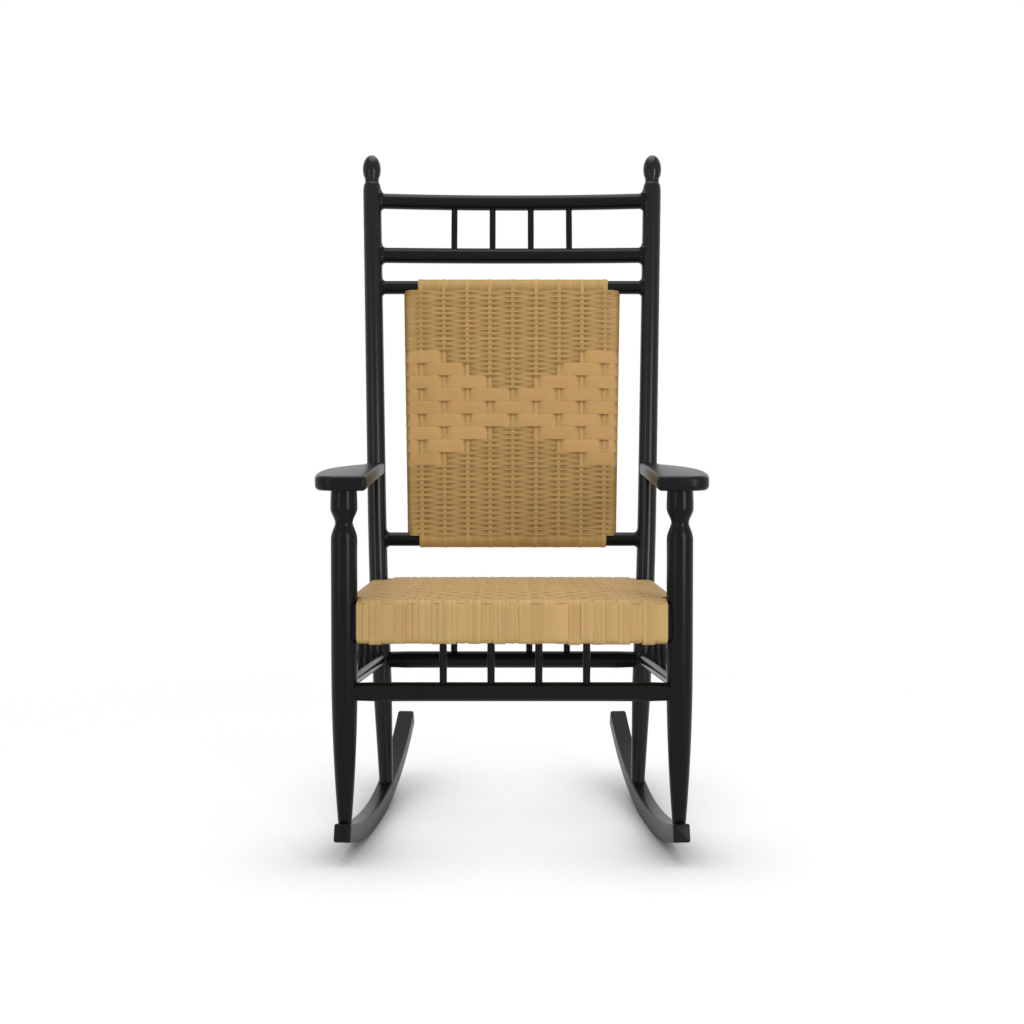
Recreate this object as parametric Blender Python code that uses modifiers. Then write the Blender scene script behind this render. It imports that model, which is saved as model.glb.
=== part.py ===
"""Wicker rocking chair: a painted wooden frame on two curved rockers, with a woven back panel and seat.

Metres, +Z up. The front of the chair faces -Y, and its left is at -X as seen from the front. The
origin is on the floor under the middle of the chair. A reach is a distance behind the front legs.
"""

import math

import bmesh
import bpy
from mathutils import Matrix, Vector

# Clearances
GAP = 0.0003  # left between pieces that touch
SLIP = 0.0006  # between a woven cover and the rail inside it

# Widths, as distances from the middle of the chair. The others follow the front legs
FRONT_LEG_X = 0.272
POST_INSET = 0.0386  # from the front leg's axis in to where the post's lower line would meet the floor
ARM_OUTSIDE = 0.0545  # from the front leg's axis out to the arm's widest place
ARM_INSIDE = 0.0405  # from the front leg's axis in to the arm's inner edge
ARM_INNER_FLARE = 0.0085  # how much further out the inner edge is at the post
SEAT_RAIL_INSET = 0.008  # from the front leg's axis in to the side rail's middle
PANEL_INSET = 0.0449  # from the foot of the post's lower line in to the panel's upright rods, halfway up
WRAP_INSET = 0.0125  # from those rods in to the end of the weave round the two panel rails
POST_FLOOR_X = FRONT_LEG_X - POST_INSET
ARM_OUTER_X = FRONT_LEG_X + ARM_OUTSIDE
ARM_INNER_FRONT_X = FRONT_LEG_X - ARM_INSIDE
ARM_INNER_REAR_X = ARM_INNER_FRONT_X + ARM_INNER_FLARE
SEAT_SIDE_FRONT_X = FRONT_LEG_X - SEAT_RAIL_INSET
PANEL_SIDE_X = POST_FLOOR_X - PANEL_INSET

# Front legs: turned, upright, with a neck under the arm
LEG_RADIUS = 0.0215
LEG_NECK_RADIUS = 0.0143
LEG_FOOT_RADIUS = 0.0112
LEG_HEAD_RADIUS = 0.0219
LEG_HEAD_TOP_RADIUS = 0.0210
LEG_HEAD_LENGTH = 0.0305
LEG_NECK_DROP = 0.055  # from the arm's underside down to the neck
LEG_SWELL_LENGTH = 0.026  # from the neck down to the leg's full thickness
LEG_SWELL_POWER = 1.3  # how sharply the neck turns into that swell
LEG_TAPER_START = 0.330  # height where the leg starts to thin towards its foot
LEG_TAPER_POWER = 2.1
LEG_ANKLE = 0.004  # straight length above the rocker
LEG_TENON_RADIUS = 0.010
LEG_TENON_LENGTH = 0.014

# Rear posts: one bent stick each, from the rocker to the finial
POST_FLOOR_REACH = 0.415  # where the post's lower line would meet the floor
LEG_SPLAY_SLOPE = 0.0362  # outward lean below the bend
LEG_RAKE_SLOPE = 0.030  # backward lean below the bend
BACK_SPLAY_SLOPE = 0.0303  # outward lean above the bend
BACK_RAKE_SLOPE = 0.230  # backward lean above the bend
BEND_START = 0.347
BEND_END = 0.587
POST_RADIUS = 0.0174
POST_FOOT_RADIUS = 0.0128
POST_TAPER_START = 0.210
POST_ANKLE = 0.010  # straight length above the rocker
POST_SHOULDER_RISE = 0.015  # from the crest rail's axis up to the shoulder
FINIAL_NECK_RADIUS = 0.0134
FINIAL_NECK_RISE = 0.019  # from the shoulder up to the neck
FINIAL_RADIUS = 0.0175
FINIAL_LENGTH = 0.0555
FINIAL_TIP_TURN = math.radians(84)  # how far the egg's curve runs before its flat tip

# Rockers: bent planks on edge, each of a flatter arc ahead of where it touches the floor and a tighter
# one behind
ROCKER_FRONT_RADIUS = 1.19  # of the lower edge
ROCKER_REAR_RADIUS = 0.88
ROCKER_CENTRE_REACH = 0.276  # where the lower edge touches the floor
ROCKER_HEIGHT = 0.030
ROCKER_WIDTH = 0.0280
ROCKER_NOSE = 0.031  # ahead of the front legs
ROCKER_TAIL_REACH = 0.6825
ROCKER_FACET = 0.048  # length of one flat of the lower edge
ROCKER_EDGE = 0.002
FOOT_TENON_RADIUS = 0.0072
FOOT_TENON_LENGTH = 0.016

# Arms: flat paddles from the front legs to the rear posts
ARM_TOP = 0.633
ARM_THICKNESS = 0.024
ARM_NOSE = 0.050  # ahead of the front legs
ARM_INNER_REAR_REACH = 0.384
ARM_WIDEST_REACH = 0.124
ARM_NOSE_INSET = 0.0148  # how far the outer edge comes in from the widest place to the nose
ARM_TAIL_REACH = 0.386  # where the outer edge comes in to the post
ARM_TAIL_CHEEK = 0.0216  # from the post's axis out to that place
ARM_TAIL_POWER = 2.5
ARM_OUTER_CORNER = 0.028
ARM_INNER_CORNER = 0.008
ARM_EDGE = 0.005

# Lower stretchers
STRETCHER_RADIUS = 0.0155
SIDE_STRETCHER_RADIUS = 0.0125
FRONT_STRETCHER_HEIGHT = 0.280
REAR_STRETCHER_HEIGHT = 0.267
SIDE_STRETCHER_FRONT_HEIGHT = 0.292
SIDE_STRETCHER_REAR_HEIGHT = 0.270
STRETCHER_END_RADIUS = 0.0125
SIDE_STRETCHER_END_RADIUS = 0.0090
STRETCHER_TAPER = 0.028  # length over which an end thins
STRETCHER_TENON_RADIUS = 0.0055
STRETCHER_TENON_LENGTH = 0.0095

# Thin spindles
SPINDLE_RADIUS = 0.0058
SPINDLE_SWELL = 1.06  # a spindle's middle against its ends
SPINDLE_SEATING = 0.008  # depth of each end in its hole
FRONT_SPINDLE_PITCH = 0.0775
FRONT_SPINDLE_SHIFT = 0.0047
REAR_SPINDLE_PITCH = 0.0700
REAR_SPINDLE_SHIFT = -0.0028
SIDE_SPINDLE_PITCH = 0.0775
GALLERY_SPINDLE_RADIUS = 0.0057
GALLERY_SPINDLE_PITCH = 0.0741
GALLERY_SPINDLE_SHIFT = -0.0006
SPINDLES_A_SIDE = 4

# Seat: four rails on edge, and the cover woven round them
SEAT_TOP = 0.431  # at the front edge
SEAT_THICKNESS = 0.071
SEAT_FALL_SLOPE = 0.027  # drop towards the back, as a slope
SEAT_FRONT = 0.022  # front face ahead of the leg axis
SEAT_WALL = 0.006
SEAT_EDGE = 0.010
SEAT_CROWN = 0.004
SEAT_CROWN_SHARES = (0.6, 0.25)  # sizes of the rings that the crown is drawn with, against the outline
SEAT_CORNER = 0.012
SEAT_NOTCH_EASE = 0.0036  # room for the lean of the posts through the seat's thickness
SEAT_RAIL_THICKNESS = 0.021
SEAT_TENON_THICKNESS = 0.010
SEAT_TENON_HEIGHT = 0.036
SEAT_TENON_LENGTH = 0.011

# Back: the gallery above, and the woven panel below it
GALLERY_RISE = 0.063  # from the panel's top rail up to the gallery rail
CREST_RISE = 0.107  # from the gallery rail up to the crest rail
GALLERY_BOW = 0.022  # how far the two upper rails bow back
GALLERY_RAIL_RADIUS = 0.0149
GALLERY_RAIL_FLARE = 0.0020
FLARE_LENGTH = 0.012
RAIL_TENON_RADIUS = 0.0080
RAIL_TENON_LENGTH = 0.012
PANEL_TOP_HEIGHT = 0.965
PANEL_BOTTOM_HEIGHT = 0.4905
PANEL_RAIL_RADIUS = 0.0128
PANEL_SIDE_RADIUS = 0.0065
PANEL_SPLAY_SLOPE = 0.0205  # outward lean of the panel's upright rods
PANEL_WALL = 0.0035
PANEL_EASE = 0.050  # length over which the panel thins towards its upright rods

# Screws
SCREW_HEAD_RADIUS = 0.0045
SCREW_HEAD_LENGTH = 0.003
SCREW_HEAD_RIM = 0.0006
SCREW_SHANK_RADIUS = 0.0022
SCREW_TIP_RADIUS = 0.0011
SCREW_TIP_LENGTH = 0.0066
ROCKER_SCREW_LENGTH = 0.046
ARM_SCREW_LENGTH = 0.058
SCREW_RECESS = 0.003
SCREW_LEAD = 0.020  # how far a head's hole is cut on, out of the wood

# Facets of round pieces
LEG_SIDES = 20
POST_SIDES = 16
RAIL_SIDES = 14
SPINDLE_SIDES = 10
SCREW_SIDES = 10
TENON_SIDES = 12
WRAP_SIDES = 24
SMOOTH_ANGLE = math.radians(35)
BEVEL_ANGLE = math.radians(50)

PAINT = (0.012, 0.012, 0.013)
PAINT_ROUGHNESS = 0.3
RATTAN = (0.49, 0.33, 0.14)
RATTAN_ROUGHNESS = 0.6
STEEL = (0.45, 0.45, 0.46)
STEEL_ROUGHNESS = 0.35

SIDES = {"left": -1, "right": 1}
UP = Vector((0, 0, 1))


# Where things are

ARM_UNDERSIDE = ARM_TOP - ARM_THICKNESS
GALLERY_HEIGHT = PANEL_TOP_HEIGHT + GALLERY_RISE
CREST_HEIGHT = GALLERY_HEIGHT + CREST_RISE
POST_SHOULDER = CREST_HEIGHT + POST_SHOULDER_RISE
FINIAL_NECK_HEIGHT = POST_SHOULDER + FINIAL_NECK_RISE


def bend_share(height):
    """The height that counts for the back's own lean, which grows through the bend."""
    if height <= BEND_START:
        return 0.0
    if height >= BEND_END:
        return height - (BEND_START + BEND_END) / 2
    return (height - BEND_START) ** 2 / (2 * (BEND_END - BEND_START))


def post_x(height):
    return POST_FLOOR_X + LEG_SPLAY_SLOPE * height + (BACK_SPLAY_SLOPE - LEG_SPLAY_SLOPE) * bend_share(height)


def post_reach(height):
    extra_rake = BACK_RAKE_SLOPE - LEG_RAKE_SLOPE
    return POST_FLOOR_REACH + LEG_RAKE_SLOPE * height + extra_rake * bend_share(height)


def rocker_drop(along):
    """Height of a rocker's lower edge, at a distance along the plank behind its lowest point."""
    radius = ROCKER_FRONT_RADIUS if along < 0 else ROCKER_REAR_RADIUS
    return radius - math.sqrt(radius**2 - along**2)


# Heights of a rocker's top edge under the front leg and under the rear post
LEG_FOOT_HEIGHT = rocker_drop(-ROCKER_CENTRE_REACH) + ROCKER_HEIGHT
POST_FOOT_HEIGHT = rocker_drop(POST_FLOOR_REACH - ROCKER_CENTRE_REACH) + ROCKER_HEIGHT
ROCKER_TURN = math.atan2(FRONT_LEG_X - post_x(POST_FOOT_HEIGHT), post_reach(POST_FOOT_HEIGHT))
TAIL_HALF_WIDTH_REACH = ROCKER_WIDTH / 2 * math.sin(ROCKER_TURN)
FRONT_Y = (ARM_NOSE - ROCKER_TAIL_REACH - TAIL_HALF_WIDTH_REACH) / 2


def at(x, reach, height):
    """A point in the chair's frame, from its reach behind the front legs."""
    return Vector((x, FRONT_Y + reach, height))


def post_point(sign, height):
    return at(sign * post_x(height), post_reach(height), height)


def post_direction(sign, height):
    step = 0.001
    return (post_point(sign, height + step) - post_point(sign, height - step)).normalized()


def toward(start, end, distance):
    """The point at a distance from start on the line to end."""
    return start + (end - start).normalized() * distance


def between(start, end, share):
    return start + (end - start) * share


# Tools for making pieces


def clear_scene():
    for thing in list(bpy.data.objects):
        bpy.data.objects.remove(thing, do_unlink=True)
    for collection in list(bpy.data.collections):
        bpy.data.collections.remove(collection)


def new_collection(name, hidden=False):
    collection = bpy.data.collections.new(name)
    collection.hide_render = hidden
    bpy.context.scene.collection.children.link(collection)
    return collection


clear_scene()
CHAIR = new_collection("wicker_rocking_chair")
CUTTERS = new_collection("cutters", hidden=True)
bores = {}  # name of a piece: unit shapes to cut out of it, as (number of sides or None, matrix)


def finish(name, colour, roughness, metallic=0.0):
    material = bpy.data.materials.new(name)
    material.use_nodes = True
    shader = material.node_tree.nodes["Principled BSDF"]
    shader.inputs["Base Color"].default_value = (*colour, 1.0)
    shader.inputs["Roughness"].default_value = roughness
    shader.inputs["Metallic"].default_value = metallic
    material.diffuse_color = (*colour, 1.0)
    return material


def add_piece(name, mesh, matrix=Matrix(), colour=PAINT, roughness=PAINT_ROUGHNESS, metallic=0.0):
    mesh.name = name
    mesh.materials.clear()
    mesh.materials.append(finish(name, colour, roughness, metallic))
    mesh.shade_smooth()
    mesh.set_sharp_from_angle(angle=SMOOTH_ANGLE)
    piece = bpy.data.objects.new(name, mesh)
    piece.matrix_world = matrix
    CHAIR.objects.link(piece)
    return piece


def arc_corner(corner, before, after, radius, steps=4):
    """Points that round off a corner of an outline."""
    first = (before - corner).normalized() * radius
    last = (after - corner).normalized() * radius
    points = []
    for i in range(steps + 1):
        turn = math.pi / 2 * i / steps
        points.append(corner + first * (1 - math.sin(turn)) + last * (1 - math.cos(turn)))
    return points


def add_cutter(name, mesh, matrix=Matrix()):
    cutter = bpy.data.objects.new(name, mesh)
    cutter.matrix_world = matrix
    cutter.display_type = "WIRE"
    cutter.hide_render = True
    CUTTERS.objects.link(cutter)
    return cutter


def boolean(piece, cutter, operation="DIFFERENCE", overlapping=False):
    """Cuts or joins a piece. overlapping says that the cutter's own shapes may run into each other."""
    modifier = piece.modifiers.new(f"{operation.lower()} {cutter.name}", "BOOLEAN")
    modifier.operation = operation
    modifier.object = cutter
    modifier.solver = "EXACT"
    modifier.use_self = overlapping


def mesh_of(thing):
    """The evaluated mesh of a curve or of a mesh with modifiers, caps welded. The object is removed."""
    bpy.context.view_layer.update()
    graph = bpy.context.evaluated_depsgraph_get()
    mesh = bpy.data.meshes.new_from_object(thing.evaluated_get(graph))
    bm = bmesh.new()
    bm.from_mesh(mesh)
    bmesh.ops.remove_doubles(bm, verts=bm.verts, dist=1e-6)
    bmesh.ops.recalc_face_normals(bm, faces=bm.faces)
    bm.to_mesh(mesh)
    bm.free()
    bpy.data.objects.remove(thing, do_unlink=True)
    return mesh


def swept_mesh(points, radii, sides):
    """A round bar through the points, with its own radius at each."""
    curve = bpy.data.curves.new("bar", "CURVE")
    curve.dimensions = "3D"
    curve.bevel_depth = 1.0
    curve.bevel_resolution = (sides - 4) // 2
    curve.use_fill_caps = True
    spline = curve.splines.new("POLY")
    spline.points.add(len(points) - 1)
    for knot, point, radius in zip(spline.points, points, radii):
        knot.co = (*point, 1.0)
        knot.radius = radius
    bar = bpy.data.objects.new("bar", curve)
    CHAIR.objects.link(bar)
    return mesh_of(bar)


def turned_mesh(profile, sides):
    """A lathe-turned shape round +Z. The profile lists (radius, height) from top to bottom."""
    mesh = bpy.data.meshes.new("profile")
    corners = [(radius, 0.0, height) for radius, height in profile]
    mesh.from_pydata(corners, [(i, i + 1) for i in range(len(corners) - 1)], [])
    turning = bpy.data.objects.new("turning", mesh)
    CHAIR.objects.link(turning)
    screw = turning.modifiers.new("turn", "SCREW")
    screw.steps = sides
    screw.render_steps = sides
    screw.use_merge_vertices = True
    screw.merge_threshold = 0.00001
    return mesh_of(turning)


def plate_mesh(outline, thickness):
    """A flat plate from a closed outline in its own XY plane, centred on that plane."""
    curve = bpy.data.curves.new("plate", "CURVE")
    curve.dimensions = "2D"
    curve.fill_mode = "BOTH"
    curve.extrude = thickness / 2
    spline = curve.splines.new("POLY")
    spline.points.add(len(outline) - 1)
    for knot, (x, y) in zip(spline.points, outline):
        knot.co = (x, y, 0.0, 1.0)
    spline.use_cyclic_u = True
    plate = bpy.data.objects.new("plate", curve)
    CHAIR.objects.link(plate)
    return mesh_of(plate)


def stacked_mesh(outline, centre, levels):
    """A closed form whose level sections are copies of one outline, scaled about a centre.

    levels lists (scale, height) from the bottom to the top. The form closes to a point at each end.
    """
    bm = bmesh.new()
    rings = []
    for scale, height in levels:
        level = Matrix.Translation((*centre, height)) @ Matrix.Diagonal((scale, scale, 1, 1))
        corners = [Vector((x - centre[0], y - centre[1], 0)) for x, y in outline]
        rings.append([bm.verts.new(level @ corner) for corner in corners])
    poles = [bm.verts.new((*centre, height)) for height in (levels[0][1], levels[-1][1])]
    count = len(outline)
    for i in range(count):
        j = (i + 1) % count
        bm.faces.new((poles[0], rings[0][j], rings[0][i]))
        bm.faces.new((poles[1], rings[-1][i], rings[-1][j]))
        for low, high in zip(rings, rings[1:]):
            bm.faces.new((low[i], low[j], high[j], high[i]))
    bmesh.ops.recalc_face_normals(bm, faces=bm.faces)
    mesh = bpy.data.meshes.new("form")
    bm.to_mesh(mesh)
    bm.free()
    return mesh


def round_edges(piece, width, segments=3):
    bevel = piece.modifiers.new("rounded edges", "BEVEL")
    bevel.width = width
    bevel.segments = segments
    bevel.limit_method = "ANGLE"
    bevel.angle_limit = BEVEL_ANGLE


def aim(start, end):
    """The matrix whose +Z runs from start towards end, with its origin at start."""
    turn = (end - start).to_track_quat("Z", "X").to_matrix().to_4x4()
    return Matrix.Translation(start) @ turn


def round_shape(start, end, radius, sides):
    length = (end - start).length
    middle = aim(start, end) @ Matrix.Translation((0, 0, length / 2))
    return sides, middle @ Matrix.Diagonal((radius, radius, length, 1))


def box_shape(matrix, size):
    return None, matrix @ Matrix.Diagonal((*size, 1))


def shapes_mesh(shapes):
    bm = bmesh.new()
    for sides, matrix in shapes:
        if sides is None:
            bmesh.ops.create_cube(bm, size=1.0, matrix=matrix)
        else:
            bmesh.ops.create_cone(
                bm, cap_ends=True, segments=sides, radius1=1.0, radius2=1.0, depth=1.0, matrix=matrix
            )
    mesh = bpy.data.meshes.new("shapes")
    bm.to_mesh(mesh)
    bm.free()
    return mesh


def bore(receiver, start, end, radius, sides):
    """A round hole in a piece for what runs from start to end, with its clearance round and past the end."""
    deeper = toward(end, start, -GAP)
    bores.setdefault(receiver, []).append(round_shape(start, deeper, radius + GAP, sides))


def cut_bores():
    for receiver, shapes in bores.items():
        cutter = add_cutter(f"{receiver}_bores", shapes_mesh(shapes))
        boolean(bpy.data.objects[receiver], cutter, overlapping=True)


def add_tenon(piece, receiver, start, end, radius):
    """A round tenon joined to a piece, and its mortise in the receiver."""
    tenon = shapes_mesh([round_shape(start, end, radius, TENON_SIDES)])
    boolean(piece, add_cutter(f"{piece.name}_tenon_to_{receiver}", tenon), "UNION")
    bore(receiver, start, end, radius, TENON_SIDES)


# Front legs


def leg_radius(height):
    """The leg's radius below its swell, where it thins towards its foot."""
    ankle = LEG_FOOT_HEIGHT + LEG_ANKLE
    share = (LEG_TAPER_START - height) / (LEG_TAPER_START - ankle)
    share = min(1.0, max(0.0, share))
    return LEG_RADIUS + (LEG_FOOT_RADIUS - LEG_RADIUS) * share**LEG_TAPER_POWER


def leg_profile(extra=0.0):
    """(radius, height) down the leg, from the arm's underside to below the rocker's top."""
    head = ARM_UNDERSIDE - GAP
    top = head - LEG_HEAD_LENGTH
    neck = head - LEG_NECK_DROP
    steps = 4
    profile = [(0.0, head), (LEG_HEAD_TOP_RADIUS, head), (LEG_HEAD_RADIUS, head - LEG_HEAD_LENGTH / 2)]
    for i in range(steps + 1):
        turn = math.pi * i / steps
        radius = LEG_NECK_RADIUS + (LEG_HEAD_RADIUS - LEG_NECK_RADIUS) * (1 + math.cos(turn)) / 2
        profile.append((radius, top + (neck - top) * i / steps))
    for i in range(1, steps + 1):
        share = math.sin(math.pi / 2 * i / steps) ** LEG_SWELL_POWER
        radius = LEG_NECK_RADIUS + (LEG_RADIUS - LEG_NECK_RADIUS) * share
        profile.append((radius, neck - LEG_SWELL_LENGTH * i / steps))
    ankle = LEG_FOOT_HEIGHT + LEG_ANKLE
    for i in range(steps + 1):
        height = LEG_TAPER_START + (ankle - LEG_TAPER_START) * i / steps
        profile.append((leg_radius(height), height))
    inside_rocker = LEG_FOOT_HEIGHT - ROCKER_HEIGHT / 2
    profile += [(LEG_FOOT_RADIUS, inside_rocker), (0.0, inside_rocker)]
    return [(radius + extra if radius else 0.0, height) for radius, height in profile]


def make_front_leg(side, sign):
    place = Matrix.Translation(at(sign * FRONT_LEG_X, 0, 0))
    leg = add_piece(f"front_leg_{side}", turned_mesh(leg_profile(), LEG_SIDES), place)
    add_cutter(f"front_leg_{side}_clearance", turned_mesh(leg_profile(GAP), LEG_SIDES), place)
    boolean(leg, bpy.data.objects[f"rocker_{side}_clearance"])
    top = at(sign * FRONT_LEG_X, 0, ARM_UNDERSIDE)
    add_tenon(leg, f"arm_{side}", top - UP * LEG_TENON_LENGTH, top + UP * LEG_TENON_LENGTH, LEG_TENON_RADIUS)
    seat_foot(leg, f"rocker_{side}", at(sign * FRONT_LEG_X, 0, LEG_FOOT_HEIGHT), UP)


def seat_foot(leg, rocker, top_of_rocker, direction):
    """The tenon under a leg, down into its rocker."""
    inside = top_of_rocker + direction * FOOT_TENON_LENGTH
    tip = top_of_rocker - direction * FOOT_TENON_LENGTH
    add_tenon(leg, rocker, inside, tip, FOOT_TENON_RADIUS)


# Rear posts


def post_sections(extra=0.0):
    """(height, radius) up the post, from inside the rocker to the tip of the finial."""
    bend_steps = 6
    neck_steps = 4
    egg_steps = 9
    inside_rocker = POST_FOOT_HEIGHT - ROCKER_HEIGHT / 2
    sections = [(inside_rocker, POST_FOOT_RADIUS), (POST_FOOT_HEIGHT + POST_ANKLE, POST_FOOT_RADIUS)]
    sections.append((POST_TAPER_START, POST_RADIUS))
    for i in range(bend_steps + 1):
        sections.append((BEND_START + (BEND_END - BEND_START) * i / bend_steps, POST_RADIUS))
    for i in range(neck_steps + 1):
        turn = math.pi / 2 * i / neck_steps
        radius = FINIAL_NECK_RADIUS + (POST_RADIUS - FINIAL_NECK_RADIUS) * math.cos(turn)
        sections.append((POST_SHOULDER + FINIAL_NECK_RISE * math.sin(turn), radius))
    middle = FINIAL_NECK_HEIGHT + FINIAL_LENGTH / 2
    low = -math.acos(FINIAL_NECK_RADIUS / FINIAL_RADIUS)
    for i in range(egg_steps + 1):
        turn = low + (FINIAL_TIP_TURN - low) * i / egg_steps
        sections.append((middle + FINIAL_LENGTH / 2 * math.sin(turn), FINIAL_RADIUS * math.cos(turn)))
    return [(height, radius + extra) for height, radius in sections]


def post_mesh(sign, extra=0.0):
    sections = post_sections(extra)
    points = [post_point(sign, height) for height, _ in sections]
    return swept_mesh(points, [radius for _, radius in sections], POST_SIDES)


def make_rear_post(side, sign):
    post = add_piece(f"rear_post_{side}", post_mesh(sign))
    add_cutter(f"rear_post_{side}_clearance", post_mesh(sign, GAP))
    boolean(post, bpy.data.objects[f"rocker_{side}_clearance"])
    foot = POST_FOOT_HEIGHT
    seat_foot(post, f"rocker_{side}", post_point(sign, foot), post_direction(sign, foot))


# Rockers


def rocker_edges(length, radius, extra):
    """One end of the bent plank seen from its side, from where it touches the floor out to its tip.

    Returns its lower edge and its upper edge, as (distance, height). The lower edge has flats whose
    middles touch the true arc, so that the chair stands on one of them.
    """
    flat = 2 * math.atan(ROCKER_FACET / 2 / radius)
    tip = math.asin(length / radius)
    turns = [flat * (i + 0.5) for i in range(math.ceil(tip / flat) - 1)]
    corner_radius = (radius + extra) / math.cos(flat / 2)
    lower = [(corner_radius, turn) for turn in turns] + [(radius + extra, tip)]
    upper = [(radius - ROCKER_HEIGHT - extra, turn) for turn in [*turns, tip]]
    edges = (lower, upper)
    return [[(r * math.sin(turn), radius - r * math.cos(turn)) for r, turn in edge] for edge in edges]


def rocker_outline(extra=0.0):
    """The bent plank seen from its side: (distance along it from the front leg, height)."""
    lengthen = 1 / math.cos(ROCKER_TURN)
    centre = ROCKER_CENTRE_REACH * lengthen
    nose_lower, nose_upper = rocker_edges(centre + ROCKER_NOSE * lengthen, ROCKER_FRONT_RADIUS, extra)
    tail_lower, tail_upper = rocker_edges(ROCKER_TAIL_REACH * lengthen - centre, ROCKER_REAR_RADIUS, extra)
    ahead = [(centre - distance, height) for distance, height in nose_lower[::-1]]
    behind = [(centre + distance, height) for distance, height in tail_lower + tail_upper[::-1]]
    return ahead + behind + [(centre - distance, height) for distance, height in nose_upper]


def rocker_place(sign):
    along = Vector((-sign * math.sin(ROCKER_TURN), math.cos(ROCKER_TURN), 0))
    across = along.cross(UP)
    turn = Matrix((along, UP, across)).transposed().to_4x4()
    return Matrix.Translation(at(sign * FRONT_LEG_X, 0, 0)) @ turn


def make_rocker(side, sign):
    rocker = add_piece(f"rocker_{side}", plate_mesh(rocker_outline(), ROCKER_WIDTH), rocker_place(sign))
    round_edges(rocker, ROCKER_EDGE, 2)
    clearance = plate_mesh(rocker_outline(GAP), ROCKER_WIDTH * 2)
    add_cutter(f"rocker_{side}_clearance", clearance, rocker_place(sign))


# Arms


def arm_outer_x(reach):
    """The arm's outer edge, which bulges to its widest place and then comes in to the post."""
    if reach < ARM_WIDEST_REACH:
        share = (ARM_WIDEST_REACH - reach) / (ARM_WIDEST_REACH + ARM_NOSE)
        return ARM_OUTER_X - ARM_NOSE_INSET * share**2
    share = (reach - ARM_WIDEST_REACH) / (ARM_TAIL_REACH - ARM_WIDEST_REACH)
    return ARM_OUTER_X - (ARM_OUTER_X - post_x(ARM_TOP) - ARM_TAIL_CHEEK) * share**ARM_TAIL_POWER


def arm_outline():
    """The arm from above, as (distance out from the chair's middle, reach), round from the nose."""
    steps = 12
    first = ARM_OUTER_CORNER - ARM_NOSE
    reaches = [first + (ARM_TAIL_REACH - first) * i / steps for i in range(steps + 1)]
    outer = [Vector((arm_outer_x(reach), reach)) for reach in reaches]
    end = post_reach(ARM_UNDERSIDE)
    end_x = post_x(ARM_TOP)
    inner = [Vector((end_x + POST_RADIUS, end)), Vector((end_x - POST_RADIUS, end)),
             Vector((ARM_INNER_REAR_X, ARM_INNER_REAR_REACH))]
    outer_corner = Vector((arm_outer_x(-ARM_NOSE), -ARM_NOSE))
    inner_corner = Vector((ARM_INNER_FRONT_X, -ARM_NOSE))
    nose = arc_corner(inner_corner, inner[-1], outer_corner, ARM_INNER_CORNER)
    nose += arc_corner(outer_corner, inner_corner, outer[0], ARM_OUTER_CORNER)
    return nose + outer[1:] + inner


def make_arm(side, sign):
    outline = [(sign * p.x, FRONT_Y + p.y) for p in arm_outline()]
    place = Matrix.Translation((0, 0, ARM_TOP - ARM_THICKNESS / 2))
    arm = add_piece(f"arm_{side}", plate_mesh(outline, ARM_THICKNESS), place)
    round_edges(arm, ARM_EDGE)
    boolean(arm, bpy.data.objects[f"rear_post_{side}_clearance"])


# Bars between two uprights


def make_bar(name, points, radii, ends, tenon_radius, tenon_length, sides=RAIL_SIDES):
    """A bar coped round the uprights at both ends, with a tenon into each of them.

    ends gives the two uprights' names and the radius of each there.
    """
    bar = add_piece(name, swept_mesh(points, radii, sides))
    for (upright, radius), tip, inner in zip(ends, (points[0], points[-1]), (points[1], points[-2])):
        boolean(bar, bpy.data.objects[f"{upright}_clearance"])
        surface = toward(tip, inner, radius)
        start = toward(surface, inner, tenon_length)
        add_tenon(bar, upright, start, toward(surface, tip, tenon_length), tenon_radius)
    return bar


def post_ends():
    return [(f"rear_post_{side}", POST_RADIUS) for side in SIDES]


def bowed_point(height, share):
    """A point on a rail between the posts that bows back, at a share from the left post to the right one."""
    point = between(post_point(-1, height), post_point(1, height), share)
    return point + Vector((0, 4 * GALLERY_BOW * share * (1 - share), 0))


def make_gallery_rail(name, height):
    """A bowed rail that swells where it meets the posts."""
    span = 2 * post_x(height)
    swell = (POST_RADIUS + FLARE_LENGTH) / span
    start = POST_RADIUS / span
    shares = [0.0, start, (start + swell) / 2, swell]
    shares += [swell + (0.5 - swell) * i / 4 for i in range(1, 5)]
    shares += [1 - share for share in reversed(shares[:-1])]
    radii = []
    for share in shares:
        distance = min(share, 1 - share)
        flare = min(1.0, max(0.0, (swell - distance) / (swell - start)))
        radii.append(GALLERY_RAIL_RADIUS + GALLERY_RAIL_FLARE * flare**2)
    points = [bowed_point(height, share) for share in shares]
    make_bar(name, points, radii, post_ends(), RAIL_TENON_RADIUS, RAIL_TENON_LENGTH)


def make_spindle(name, start, end, receivers, radius=SPINDLE_RADIUS, covers=()):
    """A thin rod whose ends stand in blind holes. start and end are on the axes of what receives them."""
    low_depth, high_depth = (depth for _, depth in receivers)
    low = toward(start, end, low_depth - SPINDLE_SEATING)
    high = toward(end, start, high_depth - SPINDLE_SEATING)
    length = (high - low).length
    swell = radius * SPINDLE_SWELL
    profile = [(0, length), (radius, length), (swell, length / 2), (radius, 0), (0, 0)]
    add_piece(name, turned_mesh(profile, SPINDLE_SIDES), aim(low, high))
    middle = between(low, high, 0.5)
    bore(receivers[0][0], middle, low, swell, SPINDLE_SIDES)
    for receiver in (receivers[1][0], *covers):
        bore(receiver, middle, high, swell, SPINDLE_SIDES)


def spindle_places(pitch, shift=0.0):
    """Distances of a row of spindles from the middle of its bay."""
    return [shift + pitch * (i - (SPINDLES_A_SIDE - 1) / 2) for i in range(SPINDLES_A_SIDE)]


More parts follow.
